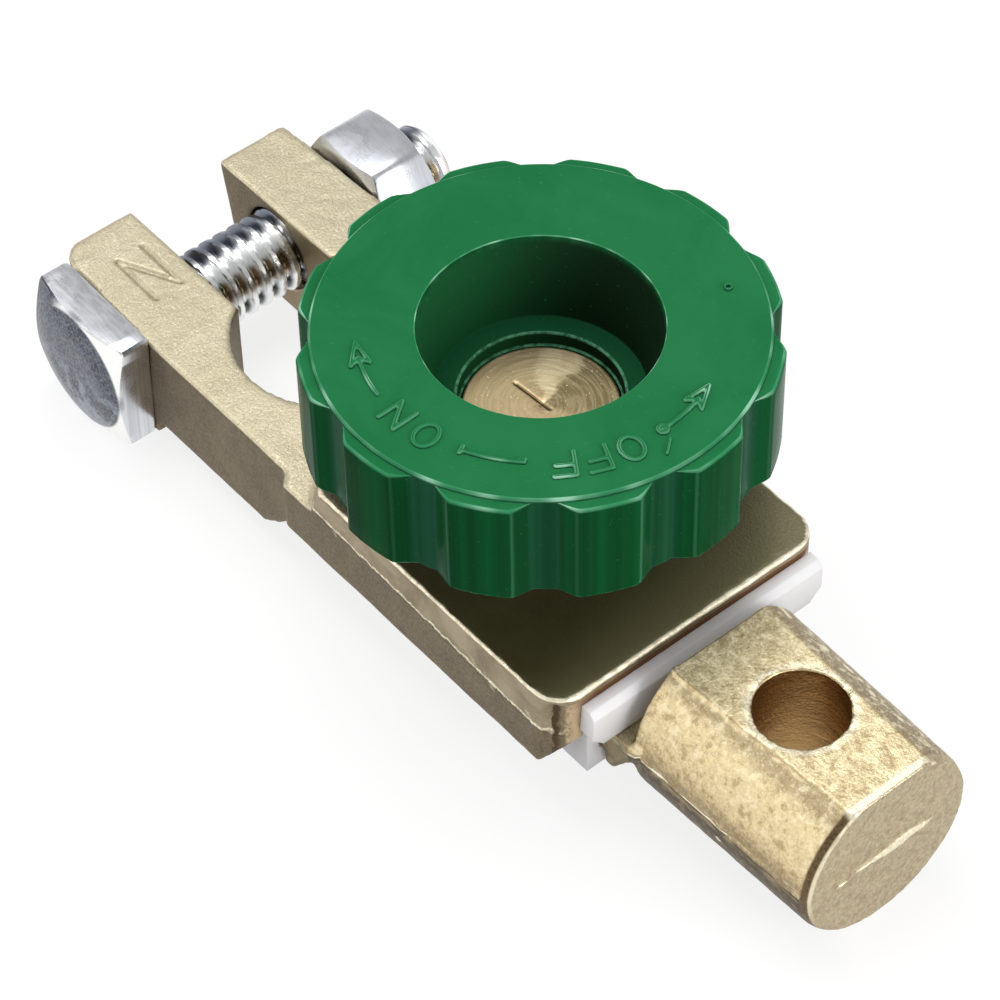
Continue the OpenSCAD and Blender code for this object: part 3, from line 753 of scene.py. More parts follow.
def make_zinc():
    """Bright zinc plate, with a painted dark slate reflection on the bolt's head, and brown, painted
    highlight and painted shade in its thread.
    """
    material, tree = start_material("zinc_plate")
    x, y, z = place_in_mm(tree)
    across = lie(tree)[1]
    cloud, patch = use(tree, patches, Patches_per_mm=0.4, Cover=0.5)
    height, tone, _ = use(tree, fine_grain, Grains_per_mm=4.0, Speck_Start=0.66)
    # The streaks are strong on the bolt's head and faint on the nut
    streaks = ramped(noise((x, y * 6.0), 0.5, Detail=4.0, Roughness=0.7), 0.35, 0.65)
    streaks = streaks * scaled(ramped(y, 5.0, -5.0), 0.4, 1.0)
    colour = blended(streaks, (0.60, 0.62, 0.66), (0.80, 0.81, 0.84))
    # The face and the far corner of the head carry a painted dark slate reflection, and the crown's near
    # side a painted highlight
    from_axis = reach(x, z, (bolt_x, bolt_z))
    head_y = bolt_low[1]
    on_face = ramped(from_axis, 0.15, -0.15, head_crown_r) * ramped(y, 1.2, 0.9, head_y)
    on_crown = ramped(across, -0.12, -0.4) * ramped(y, 3.2, 2.8, head_y)
    colour = blended(on_crown, colour, (0.97, 0.97, 0.95))
    slate = blended(cloud, (0.022, 0.028, 0.046), (0.075, 0.09, 0.125))
    paler = patch * ramped(z, 1.5, -2.5, bolt_z) * on_face
    slate = blended(paler * 0.8, slate, (0.26, 0.29, 0.34))
    painted_dark_reflection = maths("MAXIMUM", on_face, on_crown * ramped(x, -1.2, -3.4, bolt_x))
    colour = blended(painted_dark_reflection * scaled(tone, 0.85, 1.0), colour, slate)
    # Round the bolt's thread the tone goes from a painted slate reflection through a painted highlight to
    # brown, with painted shade in the valleys and below
    seat = head_y + head_h
    on_thread = ramped(from_axis, 0.12, 0.04, bolt_r) * ramped(y, 0.0, 0.3, seat)
    turn = maths("ARCTAN2", z - bolt_z, x - bolt_x)
    valley = ramped(from_axis, -0.1, -0.6, bolt_r)
    colour = blended(on_thread, colour, (0.93, 0.94, 0.94))
    far_part = on_thread * ramped(turn, 1.40, 1.80) * scaled(valley, 0.9, 1.0)
    colour = blended(far_part, colour, (0.115, 0.13, 0.175))
    brown = on_thread * ramped(turn, 0.05, 0.25) * ramped(turn, 0.95, 0.65) * scaled(valley, 0.25, 0.9)
    colour = blended(brown, colour, (0.30, 0.225, 0.12))
    colour = blended(on_thread * valley * 0.12, colour, (0.16, 0.15, 0.14))
    underneath = on_thread * ramped(turn, 0.0, -0.25) * ramped(turn, -2.2, -1.9) * valley
    colour = blended(underneath, colour, (0.045, 0.055, 0.06))
    return finished(material, colour, scaled(cloud, 0.24, 0.36), height, 0.004, Metallic=1.0)


def make_nylon():
    """Natural nylon, very slightly cloudy."""
    material, tree = start_material("nylon")
    cloud = use(tree, patches, Patches_per_mm=0.12)[0]
    height = use(tree, fine_grain, Grains_per_mm=1.5, Speck_Start=0.7)[0]
    colour = blended(cloud, (0.965, 0.95, 1.0), (0.99, 0.98, 1.0))
    return finished(material, colour, scaled(cloud, 0.38, 0.5), height, 0.012, Subsurface_Weight=0.5,
                    Subsurface_Scale=0.002, Subsurface_Radius=(1.0, 1.0, 1.0))


def make_green_plastic():
    """Moulded green plastic: a soft satin top in painted light, sides in painted shade and a dish in darker
    painted shade.
    """
    material, tree = start_material("green_plastic")
    x, y, z = place_in_mm(tree)
    up = lie(tree)[2]
    upward, lean = use(tree, lie_of_surface, Steep=0.35, Level=0.9)
    cloud = use(tree, patches, Patches_per_mm=0.1)[0]
    height, tone, speck = use(tree, fine_grain, Grains_per_mm=1.6, Speck_Start=0.7)
    distance = reach(x, y, (knob_x, 0.0))
    angle = maths("ARCTAN2", y, x - knob_x)
    # The sides are in painted shade with upright streaks that stand in for reflections, and the gaps between
    # the lobes take a bluer painted reflection
    streak = ramped(noise((angle,), 8.0, Detail=3.0, Roughness=0.65), 0.36, 0.66)
    side = blended(streak, (0.005, 0.058, 0.017), (0.006, 0.104, 0.030))
    in_gap = ramped(distance, lobe_r - 0.75, rim_r + 0.02) * ramped(distance, 0.0, 2.0, dish_r)
    side = blended(in_gap * scaled(streak, 0.2, 0.8), side, (0.022, 0.105, 0.060))
    # Painted highlights along the lobes' outer corners
    inside = lobe_r - distance
    corner = ramped(inside, 0.03, 0.09) * ramped(inside, 0.24, 0.13) * scaled(streak, 0.0, 0.42)
    side = blended(corner, side, (0.10, 0.32, 0.19))
    low_edge = ramped(z, 0.3, 0.15, grip_low) * ramped(distance, -0.6, -0.2, rim_r) * scaled(tone, 0.1, 0.7)
    side = blended(low_edge, side, (0.10, 0.36, 0.19))
    # Painted shade in the dish's wall deepens towards one side, the ledge is in painted light and the lip
    # round the stud has a painted highlight
    in_dish = ramped(distance, 0.05, -0.15, dish_r) * ramped(z, -0.15, -0.5, knob_top)
    towards = maths("COSINE", angle - dish_shade_at)
    wall = blended(ramped(towards, -0.5, 0.9), (0.013, 0.098, 0.032), (0.008, 0.024, 0.010))
    on_ledge = ramped(z, 0.25, 0.1, dish_floor) * ramped(up, 0.3, 0.6)
    wall = blended(on_ledge, wall, (0.010, 0.080, 0.030))
    lip = ramped(distance, 0.62, 0.48, stud_head_r) * ramped(up, 0.1, 0.4) * scaled(tone, 0.2, 1.0)
    wall = blended(lip, wall, (0.12, 0.36, 0.20))
    side = blended(in_dish, side, wall)
    # The top is in painted light beside the sides' painted shade
    top = blended(cloud, (0.014, 0.150, 0.050), (0.020, 0.178, 0.062))
    on_top = upward * ramped(z, -1.4, -0.4, knob_top)
    colour = blended(on_top, side, top)
    # Rounded edges by the top and the marks catch light here and there
    by_top = lean * ramped(z, -lobe_round, 0.0, knob_top - lobe_drop)
    stretches = ramped(noise((angle,), 4.0, Detail=1.0), 0.42, 0.68)
    glint = blended(stretches, (0.06, 0.32, 0.15), (0.32, 0.62, 0.44))
    colour = blended(by_top * scaled(stretches, 0.55, 0.9), colour, glint)
    colour = blended(speck * 0.18, colour, (0.08, 0.30, 0.15))
    return finished(material, colour, scaled(on_top, 0.22, 0.36), height, 0.008,
                    Specular_IOR_Level=0.008)


clamp_brass = make_clamp_brass()
post_brass = make_post_brass()
turned_brass = make_turned_brass()
zinc_plate = make_zinc()
nylon = make_nylon()
green_plastic = make_green_plastic()


# Castings

def rebore(points, centre, radius, near):
    """Brings the chosen points near a vertical bore back onto its true radius."""
    across = points[:, :2] - np.array(centre)
    distance = np.linalg.norm(across, axis=1)
    near = near & (np.abs(distance - radius) < 0.3)
    scale = np.where(near, radius / np.maximum(distance, 0.1), 1.0)
    points[:, :2] = centre + across * scale[:, None]


def casting_skin(points):
    """Height of the uneven skin that sand leaves on a casting."""
    return 0.012 * lumps(points, 0.5, 1) + 0.014 * lumps(points, 1.1, 2) + 0.04 * lumps(points, 4.5, 3)


def parting_line(x):
    """Height at which the two halves of the mould met on the cover's sides."""
    return parting_z - parting_slope * (x - parting_x)


def clamp_scratches():
    """Short scratches on the tops of the ears."""
    dice = np.random.default_rng(5)
    strokes = []
    for _ in range(ear_scratches):
        start = np.array([dice.uniform(-23, -10), dice.uniform(-12, 12)])
        turn = dice.uniform(0, math.pi)
        strokes.append((start, start + dice.uniform(0.5, 2.4) * np.array([math.cos(turn), math.sin(turn)])))
    return strokes


def make_clamp():
    mesh = remeshed(solid_copy("clamp_body"), clamp_voxel, 4)
    finer(mesh, lambda p: (p.z > collar_top - 0.5 and stamp_low[0] < p.x < stamp_high[0]
                           and stamp_low[1] < p.y < stamp_high[1]))
    finer(mesh, lambda p: (abs(p.y) > cover_side - 0.6 and p.x > cover_start
                           and abs(p.z - parting_line(p.x)) < 0.55))
    points, normals = get_points(mesh), get_normals(mesh)
    x, y, z = points.T
    rebore(points, (0.0, 0.0), post_bore_r, (z < collar_top - 0.3) & (z > 0.3))
    lift = casting_skin(points)
    smooth_top = smooth_step(z, cover_top - 0.5, cover_top - 0.2)
    in_bore = np.hypot(x, y) < post_bore_r + 0.2
    lift *= np.where(in_bore, 0.2, 1 - 0.75 * smooth_top)
    on_wall = (np.abs(normals[:, 1]) > 0.6) & (np.abs(y) > cover_side - 0.5) & (x > cover_start + 0.5)
    uneven = 0.65 + 0.5 * lumps(points, 1.6, 4)
    wave = 0.18 * lumps(points, 2.4, 6)
    lift += on_wall * parting_rise * uneven * bell(z - parting_line(x) + wave, 0.2)
    lift -= 0.09 * np.maximum(0, lumps(points, 1.0, 7)) * (x < clamp_low[0] + 0.8)
    # The corner under the cover's end has a torn crease
    from_corner = np.hypot(x - cover_end + 0.9, np.abs(y) - cover_side + 0.5)
    crease = bell(from_corner + 0.25 * lumps(points, 0.8, 8), 0.42) * smooth_step(z, 8.6, 9.6)
    lift -= 0.5 * crease * smooth_step(z, cover_top - 0.4, cover_top - 1.0) * (y < 0)
    # The cover's rim is ragged
    from_rim = np.minimum(cover_side - np.abs(y), cover_end - x)
    rim = bell(from_rim, 0.7) * smooth_step(z, cover_top - 0.9, cover_top - 0.2) * (x > cover_start)
    lift += rim * (0.07 * lumps(points, 0.7, 9) - 0.03)
    ear_top = z > collar_top - 0.25
    for start, end in clamp_scratches():
        lift -= ear_top * scratch_depth * bell(from_stroke(points, start, end), scratch_line)
    stamp = np.min([from_stroke(points, start, end) for start, end in stamp_strokes], axis=0)
    lift -= ear_top * stamp_depth * smooth_step(stamp, stamp_line + 0.16, stamp_line - 0.12)
    points += normals * lift[:, None]
    # The ears' ends slant inwards below, and one of their top corners is sharp
    at_end = smooth_step(-x, -clamp_low[0] - 3.5, -clamp_low[0] - 0.5)
    points[:, 0] += at_end * ear_slant * np.clip(collar_top - z, 0, None)
    back_x, back_y = sharp_corner[0] - x, y - sharp_corner[1]
    out_of_corner = np.hypot(back_x, back_y)
    in_corner = (back_x > 0) & (back_y > 0) & (out_of_corner > 0.1)
    unit = np.maximum(out_of_corner, 0.1)
    bulge = ((np.abs(back_x) / unit) ** 8 + (np.abs(back_y) / unit) ** 8) ** (-1 / 8)
    grow = np.where(in_corner, bulge - 1, 0) * smooth_step(z, collar_top - 6, collar_top - 0.5)
    points[:, 0] -= back_x * grow
    points[:, 1] += back_y * grow
    set_points(mesh, np.clip(points, clamp_low, clamp_high) * MM)
    add_piece("clamp_casting", mesh, "base", clamp_brass, ["clamp_body"], 60)


def make_post():
    mesh = remeshed(solid_copy("cable_post"), post_voxel, 5)
    points, normals = get_points(mesh), get_normals(mesh)
    x, y, z = points.T
    rebore(points, (cross_x, 0.0), cross_r, np.abs(normals[:, 2]) < 0.5)
    from_hole = np.hypot(x - cross_x, y)
    in_hole = (from_hole < cross_r + 0.15) & (np.abs(normals[:, 2]) < 0.7)
    on_barrel = x > cable_root_x - 1
    lift = casting_skin(points) * np.where(in_hole, 0.3, 1.0)
    uneven = 0.6 + 0.6 * lumps(points, 1.1, 12)
    wave = 0.3 * lumps(points, 1.7, 13)
    # Ridges where the mould's halves met: along the flat's edge and along the sides
    share = np.clip((x - cable_root_x) / (barrel_end - cable_root_x), 0, 1)
    radius = cable_root_r + (cable_end_r - cable_root_r) * share
    flat_half = np.sqrt(radius ** 2 - (flat_z - cable_z) ** 2)
    from_edge = np.hypot(y + flat_half + wave, z - flat_z)
    lift += on_barrel * 0.3 * np.maximum(0, uneven) * bell(from_edge, 0.3)
    side_ridge = bell(z - cable_z + 0.5 * wave, 0.22) * (np.abs(y) > 7)
    lift += on_barrel * 0.12 * uneven * side_ridge * (np.abs(normals[:, 0]) < 0.5)
    # The drill left chips round the hole's rim
    rim = bell(from_hole - cross_r - 0.35, 0.4) * (z > flat_z - 1.2)
    lift += rim * (0.12 * lumps(points, 0.8, 14) - 0.05)
    # Flash across the end
    on_end = smooth_step(x, barrel_end - 0.6, barrel_end - 0.15) * smooth_step(normals[:, 0], 0.3, 0.9)
    lens = 0.46 * np.maximum(0, 1 - ((y - flash_middle) / flash_half_w) ** 2) + 0.08
    ridge_z = flash_z + 0.2 * lumps(np.column_stack([y, y * 0, y * 0]), 2.6, 15)
    flash = smooth_step(np.abs(z - ridge_z), lens + 0.12, lens - 0.1) * smooth_step(np.abs(y), 5.9, 5.2)
    points += normals * lift[:, None]
    points[:, 0] -= on_end * (flash_rise + 0.04 * lumps(points, 1.2, 16)) * (1 - flash)
    set_points(mesh, np.clip(points, post_low, post_high) * MM)
    add_piece("cable_post_casting", mesh, "base", post_brass, ["cable_post"], 60)


# Knob and its marks

def off_middle(angles, count, phase=lobe_phase):
    """Degrees from the middle of the nearest of count equal parts of the knob."""
    pitch = 360 / count
    return (np.degrees(angles) - phase + pitch / 2) % pitch - pitch / 2


def lobe_height(angles):
    """0 in the gaps between the lobes and 1 on them."""
    rise = lobe_half_angle + lobe_flank / 2 - np.abs(off_middle(angles, lobe_count))
    return 0.5 * np.clip(rise / lobe_flank, 0, 1) + 0.5 * smooth_step(rise, 0, lobe_flank)


def rib_gap(angles):
    """0 on the ribs under the grip and 1 between them; there is one under every second lobe."""
    middle = (pocket_out_r + pocket_in_r) / 2
    return (np.radians(np.abs(off_middle(angles, lobe_count / 2))) * middle > rib_half).astype(float)


def flash_crumbs(angles, seed):
    """Ragged moulding flash on the grip's lower edge, most of it on one side."""
    place = np.column_stack([np.cos(angles), np.sin(angles), angles * 0]) * lobe_r
    strength = 0.25 + bell(off_middle(angles, 1, crumb_angle), crumb_spread)
    return strength * np.maximum(0, lumps(place, 0.9, seed))


def make_knob():
    angles = round_angles(knob_steps)
    lobes = lobe_height(angles)
    open_pocket = rib_gap(angles)
    groove = [(rim_r - 0.02, knob_top - 0.22), (rim_r + 0.02, knob_top - lobe_drop - 0.04)]
    top = [(dish_low_r, dish_ledge), (dish_r, knob_top), (rim_r - 0.17, knob_top)]
    rings = rings_through(angles, eased(top + groove, 0.12, 4))

    def lobed(inset, height):
        rings.append(ring(angles, rim_r + lobes * (lobe_depth - inset), height))

    for turn in np.radians(np.arange(0, 91, 11.25)):
        lobed(lobe_round * (1 - math.sin(turn)), knob_top - lobe_drop - lobe_round * (1 - math.cos(turn)))
    wall_top, wall_low = knob_top - lobe_drop - lobe_round, grip_low + 0.55
    for height in np.linspace(wall_top, wall_low, 7)[1:]:
        lobed(0, height)
    for back, height, crumbs in ((0.03, 0.38, 0.0), (0.0, 0.22, 0.22), (0.12, 0.06, 0.3), (0.36, 0.0, 0.25)):
        radius = rim_r + lobes * lobe_depth - back + crumbs * flash_crumbs(angles, 21)
        rings.append(ring(angles, np.minimum(radius, lobe_r), grip_low + height))
    rings.append(ring(angles, pocket_out_r, grip_low))
    for radius in (pocket_out_r - 0.2, pocket_in_r + 0.2):
        rings.append(ring(angles, radius, grip_low + open_pocket * (pocket_roof - grip_low)))
    inner = eased([(pocket_in_r, grip_low), (hub_r, grip_low), (hub_r, hub_low),
                   (flange_r + 0.1, hub_low), (flange_r + 0.1, flange_high + 0.03),
                   (stud_head_r + 0.1, flange_high + 0.03), (stud_head_r + 0.1, stud_high[2]),
                   (stud_head_r + 0.28, stud_high[2]), (stud_head_r + 0.34, dish_floor),
                   (dish_low_r - 0.1, dish_floor + 0.03), (dish_low_r, dish_ledge)], 0.2, 4)
    rings += rings_through(angles, inner[:-1])
    points, faces = skin(rings, ends_meet=True)
    points = points + np.array([knob_x, 0, 0])
    add_piece("knob_grip", mesh_of("knob_grip", points, faces), "knob",
              green_plastic, ["knob"], 40)


def loop_stroke(centre, half_w, half_h, count=17):
    turns = np.linspace(0, 2 * math.pi, count)
    return centre + np.column_stack([half_w * np.cos(turns), half_h * np.sin(turns)])


def letter_strokes(letter):
    """Strokes of a letter about its middle, along its width and up its height."""
    w, h = (letter_w - mark_line) / 2, (letter_h - mark_line) / 2
    if letter == "O":
        return [loop_stroke((0, 0), w * 1.06, h, 33)]
    if letter == "N":
        return [np.array([(-w, -h), (-w, h), (w, -h), (w, h)])]
    return [np.array([(-w, -h), (-w, h), (w, h)]), np.array([(-w, 0.1 * h), (0.75 * w, 0.1 * h)])]


def placed(stroke, degrees, out):
    """A letter's stroke set on the knob with its top outwards."""
    turn = math.radians(degrees)
    outward = np.array([math.cos(turn), math.sin(turn)])
    right = np.array([math.sin(turn), -math.cos(turn)])
    return outward * (mark_r + out) + stroke[:, :1] * right + stroke[:, 1:] * outward


def arc_stroke(from_degrees, to_degrees, from_r=mark_r, to_r=mark_r):
    turns = np.radians(np.linspace(from_degrees, to_degrees, 15))
    radii = np.linspace(from_r, to_r, 15)
    return np.column_stack([radii * np.cos(turns), radii * np.sin(turns)])


def arrow_strokes(from_degrees, to_degrees):
    """An arrow along the ring of marks, its head an open triangle with two barbs."""
    way = math.copysign(1, to_degrees - from_degrees)
    neck = to_degrees - way * arrow_head
    tip = arc_stroke(to_degrees, to_degrees)[0]
    inner = arc_stroke(neck - way, neck, mark_r - arrow_half_w, mark_r - arrow_half_w)[0]
    outer = arc_stroke(neck - way, neck, mark_r + arrow_half_w, mark_r + arrow_half_w)[0]
    middle = arc_stroke(neck + 1.5 * way, neck)[0]
    return [arc_stroke(from_degrees, neck + 2 * way), np.array([middle, inner, tip, outer, middle])]


def knob_strokes():
    """Every stroke of the marks, with the share of the full line that it is wide."""
    strokes = []
    for angles, letters, out in ((off_angles, "OFF", off_out), (on_angles, "ON", 0.0)):
        for degrees, letter in zip(angles, letters):
            strokes += [(placed(stroke, degrees, out), 1.0) for stroke in letter_strokes(letter)]
    strokes.append((arc_stroke(dash_from, dash_to), 0.8))
    strokes.append((arc_stroke(dash_from - 0.2, dash_from - 0.2, mark_r - 0.45, mark_r + 0.3), 0.95))
    strokes.append((arc_stroke(dash_to, dash_to - 1.6, mark_r - 0.3, mark_r - 0.2), 1.0))
    for ends in ((off_arrow_from, off_arrow_to), (on_arrow_from, on_arrow_to)):
        strokes += [(stroke, 0.92) for stroke in arrow_strokes(*ends)]
    # A ring and a slanting tail at the OFF arrow's start, and the small moulding mark on the right
    tail = arc_stroke(off_arrow_from, off_arrow_from)[0]
    strokes.append((loop_stroke(tail, off_ring_r, off_ring_r), 0.8))
    strokes.append((arc_stroke(*off_tail), 0.6))
    spot = arc_stroke(moulding_mark_angle, moulding_mark_angle, moulding_mark_r)[0]
    strokes.append((loop_stroke(spot, 0.3, 0.3), 0.45))
    return strokes


def make_marks():
    """The raised marks: half-round ridges, joined where strokes meet."""
    points, faces = [], []
    slope = np.radians(np.arange(0, 360, 30))

    def bead(centre, size):
        rows = [(math.cos(t), math.sin(t)) for t in np.radians((-90, -45, 0, 45, 90))]
        rings = [ring(slope, size * across * mark_line / 2, mark_rise * up if up > 0 else mark_root * up)
                 for across, up in rows]
        add(*skin(rings), centre)

    def add(new_points, new_faces, centre):
        start = sum(len(group) for group in points)
        points.append(new_points + np.array([*centre, 0.0]))
        faces.extend(tuple(start + k for k in face) for face in new_faces)

    for stroke, size in knob_strokes():
        lengths = np.linalg.norm(np.diff(stroke, axis=0), axis=1)
        travelled = np.concatenate([[0], np.cumsum(lengths)])
        if travelled[-1] == 0:
            continue
        for step in np.arange(0, travelled[-1] + 0.05, mark_step):
            bead([np.interp(step, travelled, stroke[:, axis]) for axis in (0, 1)], size)
    mesh = bpy.data.meshes.new("marks")
    mesh.from_pydata(np.concatenate(points).tolist(), [], faces)
    mesh = remeshed(mesh, mark_voxel, 2)
    points = get_points(mesh)
    points[:, 2] = np.minimum(points[:, 2], mark_rise)
    points += np.array([knob_x, 0, knob_top])
    set_points(mesh, points * MM)
    add_piece("knob_marks", mesh, "knob", green_plastic, [], 60)


# Stud, bolt and nut

def turned_face(radii, top):
    """Heights across a faced end, with the fine steps that the tool leaves."""
    tool = np.random.default_rng(9).uniform(-1, 0, len(radii))
    return top + 0.004 * tool - 0.03 * bell(radii, 0.5)


def make_stud():
    angles = round_angles(stud_steps)
    top = stud_high[2]
    rings = [pole(top - 0.05)]
    radii = np.linspace(0.2, stud_head_r - 0.25, 46)
    rings += rings_through(angles, zip(radii, turned_face(radii, top)))
    rings += rings_through(angles, eased(
        [(stud_head_r - 0.2, top), (stud_head_r, top - 0.02), (stud_head_r, flange_high),
         (flange_r, flange_high), (flange_r, flange_low), (stud_r, flange_low),
         (stud_r, flange_low - 0.6)], 0.2))
    rings += thread_rings(angles, stud_r, stud_thread_depth, stud_pitch, flange_low - 0.8, stud_low[2] + 1.0)
    rings += rings_through(angles, [(stud_r - 0.1, stud_low[2] + 0.8), (stud_r - 0.8, stud_low[2])])
    rings.append(pole(stud_low[2]))
    points, faces = skin(rings)
    on_top = (points[:, 2] > top - 0.1) & (np.hypot(points[:, 0], points[:, 1]) < stud_head_r - 0.3)
    points[:, 2] -= on_top * stud_scratch_depth * bell(from_stroke(points, *stud_scratch), 0.14)
    points = points + np.array([knob_x, 0, 0])
    add_piece("stud_turning", mesh_of("stud", points, faces), "knob",
              turned_brass, ["contact_stud"])


def along_bolt(points):
    """Turns a shape made round Z so that it lies along the bolt, Z becoming +Y."""
    return np.column_stack([points[:, 0] + bolt_x, points[:, 2], bolt_z - points[:, 1]])


def flats_radius(angles, flats, first, count, power):
    """Radius round a bar with pairs of flats, the first at some degrees; power sharpens its corners."""
    faces = np.radians(first + np.arange(count) * 180 / count)
    total = sum(np.abs(np.cos(angles - face)) ** power for face in faces)
    return flats / 2 / total ** (1 / power)


def crown_height(radius):
    """Height of the head's domed top at a distance from its middle."""
    corner_r = head_flats / math.sqrt(2)
    dome = np.clip((radius - head_face_r) / (head_crown_r - head_face_r), 0, 1) ** 1.5 * head_crown_drop
    steep = (head_h - head_crown_drop - head_corner_h) / (corner_r - head_crown_r)
    return head_h - dome - np.maximum(0, radius - head_crown_r) * steep


def make_bolt():
    angles = round_angles(bolt_steps)
    outline = flats_radius(angles, head_flats, head_turn, 2, 26)
    seat = bolt_low[1] + head_h
    rings = [pole(bolt_low[1])]
    inner = [1.2, 2.4, head_face_r] + list(np.linspace(head_face_r, head_crown_r - 0.25, 6)[1:])
    rings += rings_through(angles, [(radius, seat - crown_height(radius)) for radius in inner])
    for share in np.linspace(0, 1, 8):
        radius = np.minimum(head_crown_r + 0.15, outline - 0.2) * (1 - share) + (outline - 0.12) * share
        rings.append(ring(angles, radius, seat - crown_height(radius)))
    rings += rings_through(angles, [(outline, seat - crown_height(outline) + 0.14), (outline, seat - 0.3),
                                    (outline - 0.15, seat), (bolt_r + 0.3, seat), (bolt_r, seat + 0.2)])
    tip = bolt_high[1]
    rings += thread_rings(angles, bolt_r, bolt_thread_depth, bolt_pitch, seat + 3.0, tip - bolt_tip)
    rings += rings_through(angles, [(bolt_r - 0.35, tip - 0.35), (bolt_r - 0.8, tip - 0.05),
                                    (bolt_r - 1.1, tip), (1.0, tip), (0.7, tip - 0.5)])
    rings.append(pole(tip - 0.8))
    points, faces = skin(rings)
    add_piece("square_head_bolt", mesh_of("bolt", along_bolt(points), faces), "bolt",
              zinc_plate, ["pinch_bolt"], 30)


def make_nut():
    angles = round_angles(bolt_steps)
    outline = flats_radius(angles, nut_flats, 90, 3, 30)
    corner_r = nut_flats / 2 / math.cos(math.radians(30))
    slope = nut_chamfer / (corner_r - nut_face_r)
    low, high = nut_low[1], nut_high[1]
    half = []
    for share in np.linspace(0, 1, 6):
        radius = nut_face_r + (outline - 0.06 - nut_face_r) * share
        half.append((radius, (radius - nut_face_r) * slope))
    edge = (outline, (outline - nut_face_r) * slope + 0.1)
    bore = bolt_r + 0.05
    rings = rings_through(angles, [(bore + 0.5, low), (nut_face_r - 0.3, low)])
    rings += rings_through(angles, [(radius, low + inward) for radius, inward in half + [edge]])
    rings += rings_through(angles, [(radius, high - inward) for radius, inward in [edge] + half[::-1]])
    rings += rings_through(angles, [(nut_face_r - 0.3, high), (bore + 0.5, high),
                                    (bore, high - 0.5), (bore, low + 0.5)])
    points, faces = skin(rings, ends_meet=True)
    add_piece("hex_nut", mesh_of("nut", along_bolt(points), faces), "nut",
              zinc_plate, ["pinch_nut"], 30)


# Moulded insulators

def raised_end_wall(points):
    """The upper insulator's end wall stands a little higher, and its near end a little further in."""
    x, y, z = points.T
    on_wall = x > cover_end + 0.01
    in_front = on_wall & (x > cover_end + 0.5) & (z > cover_top - wall_back_h)
    near_end = on_wall & (y < near_end_y)
    points[:, 1] += near_end * (near_end_in + near_end_lean * (z - near_end_z))
    points[:, 2] += (in_front | (on_wall & (z > cover_top - wall_front_h))) * wall_rise


def add_insulator(node, name, reshape=None):
    """Adds a copy of an insulator's solid with its edges eased."""
    mesh = solid_copy(node)
    if reshape:
        points = get_points(mesh)
        reshape(points)
        set_points(mesh, points)
    rework(mesh, lambda work: bmesh.ops.dissolve_limit(
        work, angle_limit=math.radians(1), verts=work.verts, edges=work.edges))
    mesh = applied(mesh, ("BEVEL", {"width": insulator_edge, "segments": 3, "limit_method": "ANGLE",
                                    "angle_limit": math.radians(30)}))
    mesh.transform(Matrix.Scale(MM, 4))
    add_piece(name, mesh, "base", nylon, [node])


make_clamp()
make_post()
make_knob()
make_marks()
make_stud()
make_bolt()
make_nut()
add_insulator("upper_insulator", "upper_insulator_moulding", raised_end_wall)
add_insulator("lower_insulator", "lower_insulator_moulding")

for node_name, material in (("contact_washer", turned_brass), ("rivet_1", turned_brass),
                            ("rivet_2", turned_brass), ("rivet_washer_1", zinc_plate),
                            ("rivet_washer_2", zinc_plate)):
    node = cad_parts[node_name]
    node.data.materials.clear()
    node.data.materials.append(material)


# Camera

camera_azimuth = math.radians(51.155)
camera_elevation = math.radians(48.796)
camera_roll = math.radians(-1.357)
camera_distance = 305.586
camera_aim = Vector((34.305, -9.300, 23.966))
camera_lens = 138.78


def add_camera():
    azimuth, elevation, roll = camera_azimuth, camera_elevation, camera_roll
    back = Vector((math.sin(azimuth) * math.cos(elevation), -math.cos(azimuth) * math.cos(elevation),
                   math.sin(elevation)))
    right = Vector((math.cos(azimuth), math.sin(azimuth), 0))
    up = back.cross(right)
    side = right * math.cos(roll) + up * math.sin(roll)
    top = up * math.cos(roll) - right * math.sin(roll)
    camera = bpy.data.objects.new("camera", bpy.data.cameras.new("camera"))
    camera.data.sensor_width = 36
    camera.data.lens = camera_lens
    camera.data.clip_start = 0.01
    turn = Matrix((side, top, back)).transposed().to_4x4()
    camera.matrix_world = Matrix.Translation((camera_aim + back * camera_distance) * MM) @ turn
    scene.collection.objects.link(camera)
    scene.camera = camera


# Floor and light

floor_tone = 0.22
sweep_horizon = 0.95
sweep_above = 0.50
floor_half = 1.6
lamp_aim = Vector((0.03, 0, 0.01))
lamp_distance = 0.7


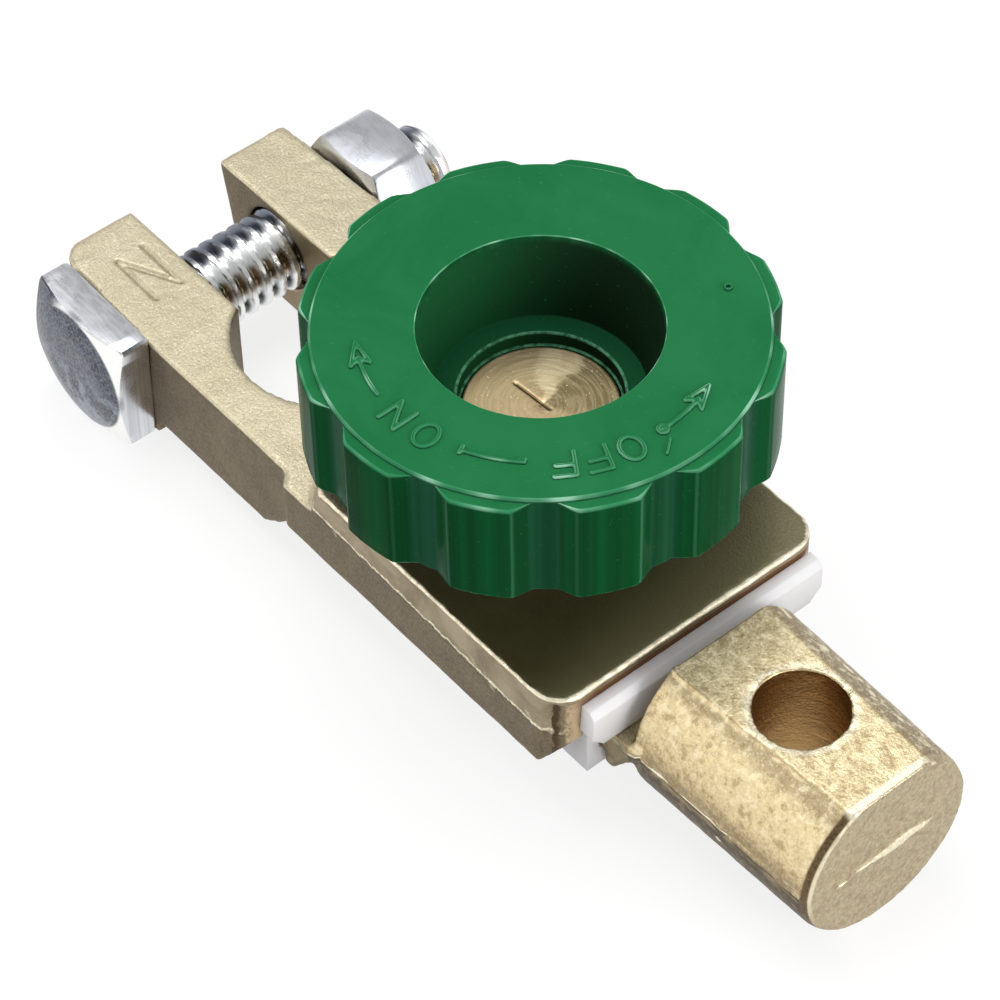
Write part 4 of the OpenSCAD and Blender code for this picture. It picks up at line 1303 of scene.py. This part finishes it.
def make_floor_finish():
    """White to the camera and in reflections, while lamps still cast the shadow on it."""
    material, tree = start_material("floor")
    tree.nodes.clear()
    seen = put(tree, "LightPath")
    shows = maths("MAXIMUM", Shade(seen, "Is Glossy Ray"), Shade(seen, "Is Transmission Ray"))
    shows = maths("MAXIMUM", Shade(seen, "Is Camera Ray"), shows)
    matt = put(tree, "BsdfDiffuse", {"Color": (floor_tone, floor_tone, floor_tone, 1)})
    glow = put(tree, "Emission", {"Strength": shows * (1 - 0.9 * floor_tone)})
    both = put(tree, "AddShader", {0: Shade(matt), 1: Shade(glow)})
    put(tree, "OutputMaterial", {"Surface": Shade(both)})
    return material


def add_floor():
    mesh = bpy.data.meshes.new("floor")
    z = float(min(post_low[2], clamp_low[2])) * MM
    corners = [(x * floor_half, y * floor_half, z) for x, y in ((-1, -1), (1, -1), (1, 1), (-1, 1))]
    mesh.from_pydata(corners, [], [(0, 1, 2, 3)])
    floor = bpy.data.objects.new("floor", mesh)
    mesh.materials.append(make_floor_finish())
    scene.collection.objects.link(floor)


def add_lamp(name, direction, size, brightness):
    """A soft square lamp that faces the object; brightness is how bright its own face looks."""
    data = bpy.data.lights.new(name, "AREA")
    data.shape = "RECTANGLE"
    data.size, data.size_y = size
    data.energy = brightness * math.pi * size[0] * size[1]
    lamp = bpy.data.objects.new(name, data)
    lamp.location = lamp_aim + Vector(direction).normalized() * lamp_distance
    lamp.rotation_euler = (lamp_aim - lamp.location).to_track_quat("-Z", "Y").to_euler()
    scene.collection.objects.link(lamp)


def add_world():
    """A pale studio sweep: white near the horizon, darker above."""
    world = bpy.data.worlds.new("studio")
    scene.world = world
    world.use_nodes = True
    tree = world.node_tree
    height = split(Shade(put(tree, "TexCoord"), "Generated"))[2]
    strength = scaled(ramped(height, 0.05, 0.55), sweep_horizon, sweep_above)
    join(tree.nodes["Background"], {"Strength": strength, "Color": (1, 1, 1, 1)})


add_camera()
add_floor()
add_world()
add_lamp("overhead softbox", (-0.3, 0.05, 1.0), (0.5, 0.42), 3.6)
add_lamp("left strip", (-0.513, -0.728, 0.42), (0.45, 0.25), 2.0)
add_lamp("right strip", (0.9, 0.15, 0.4), (0.5, 0.35), 4.2)
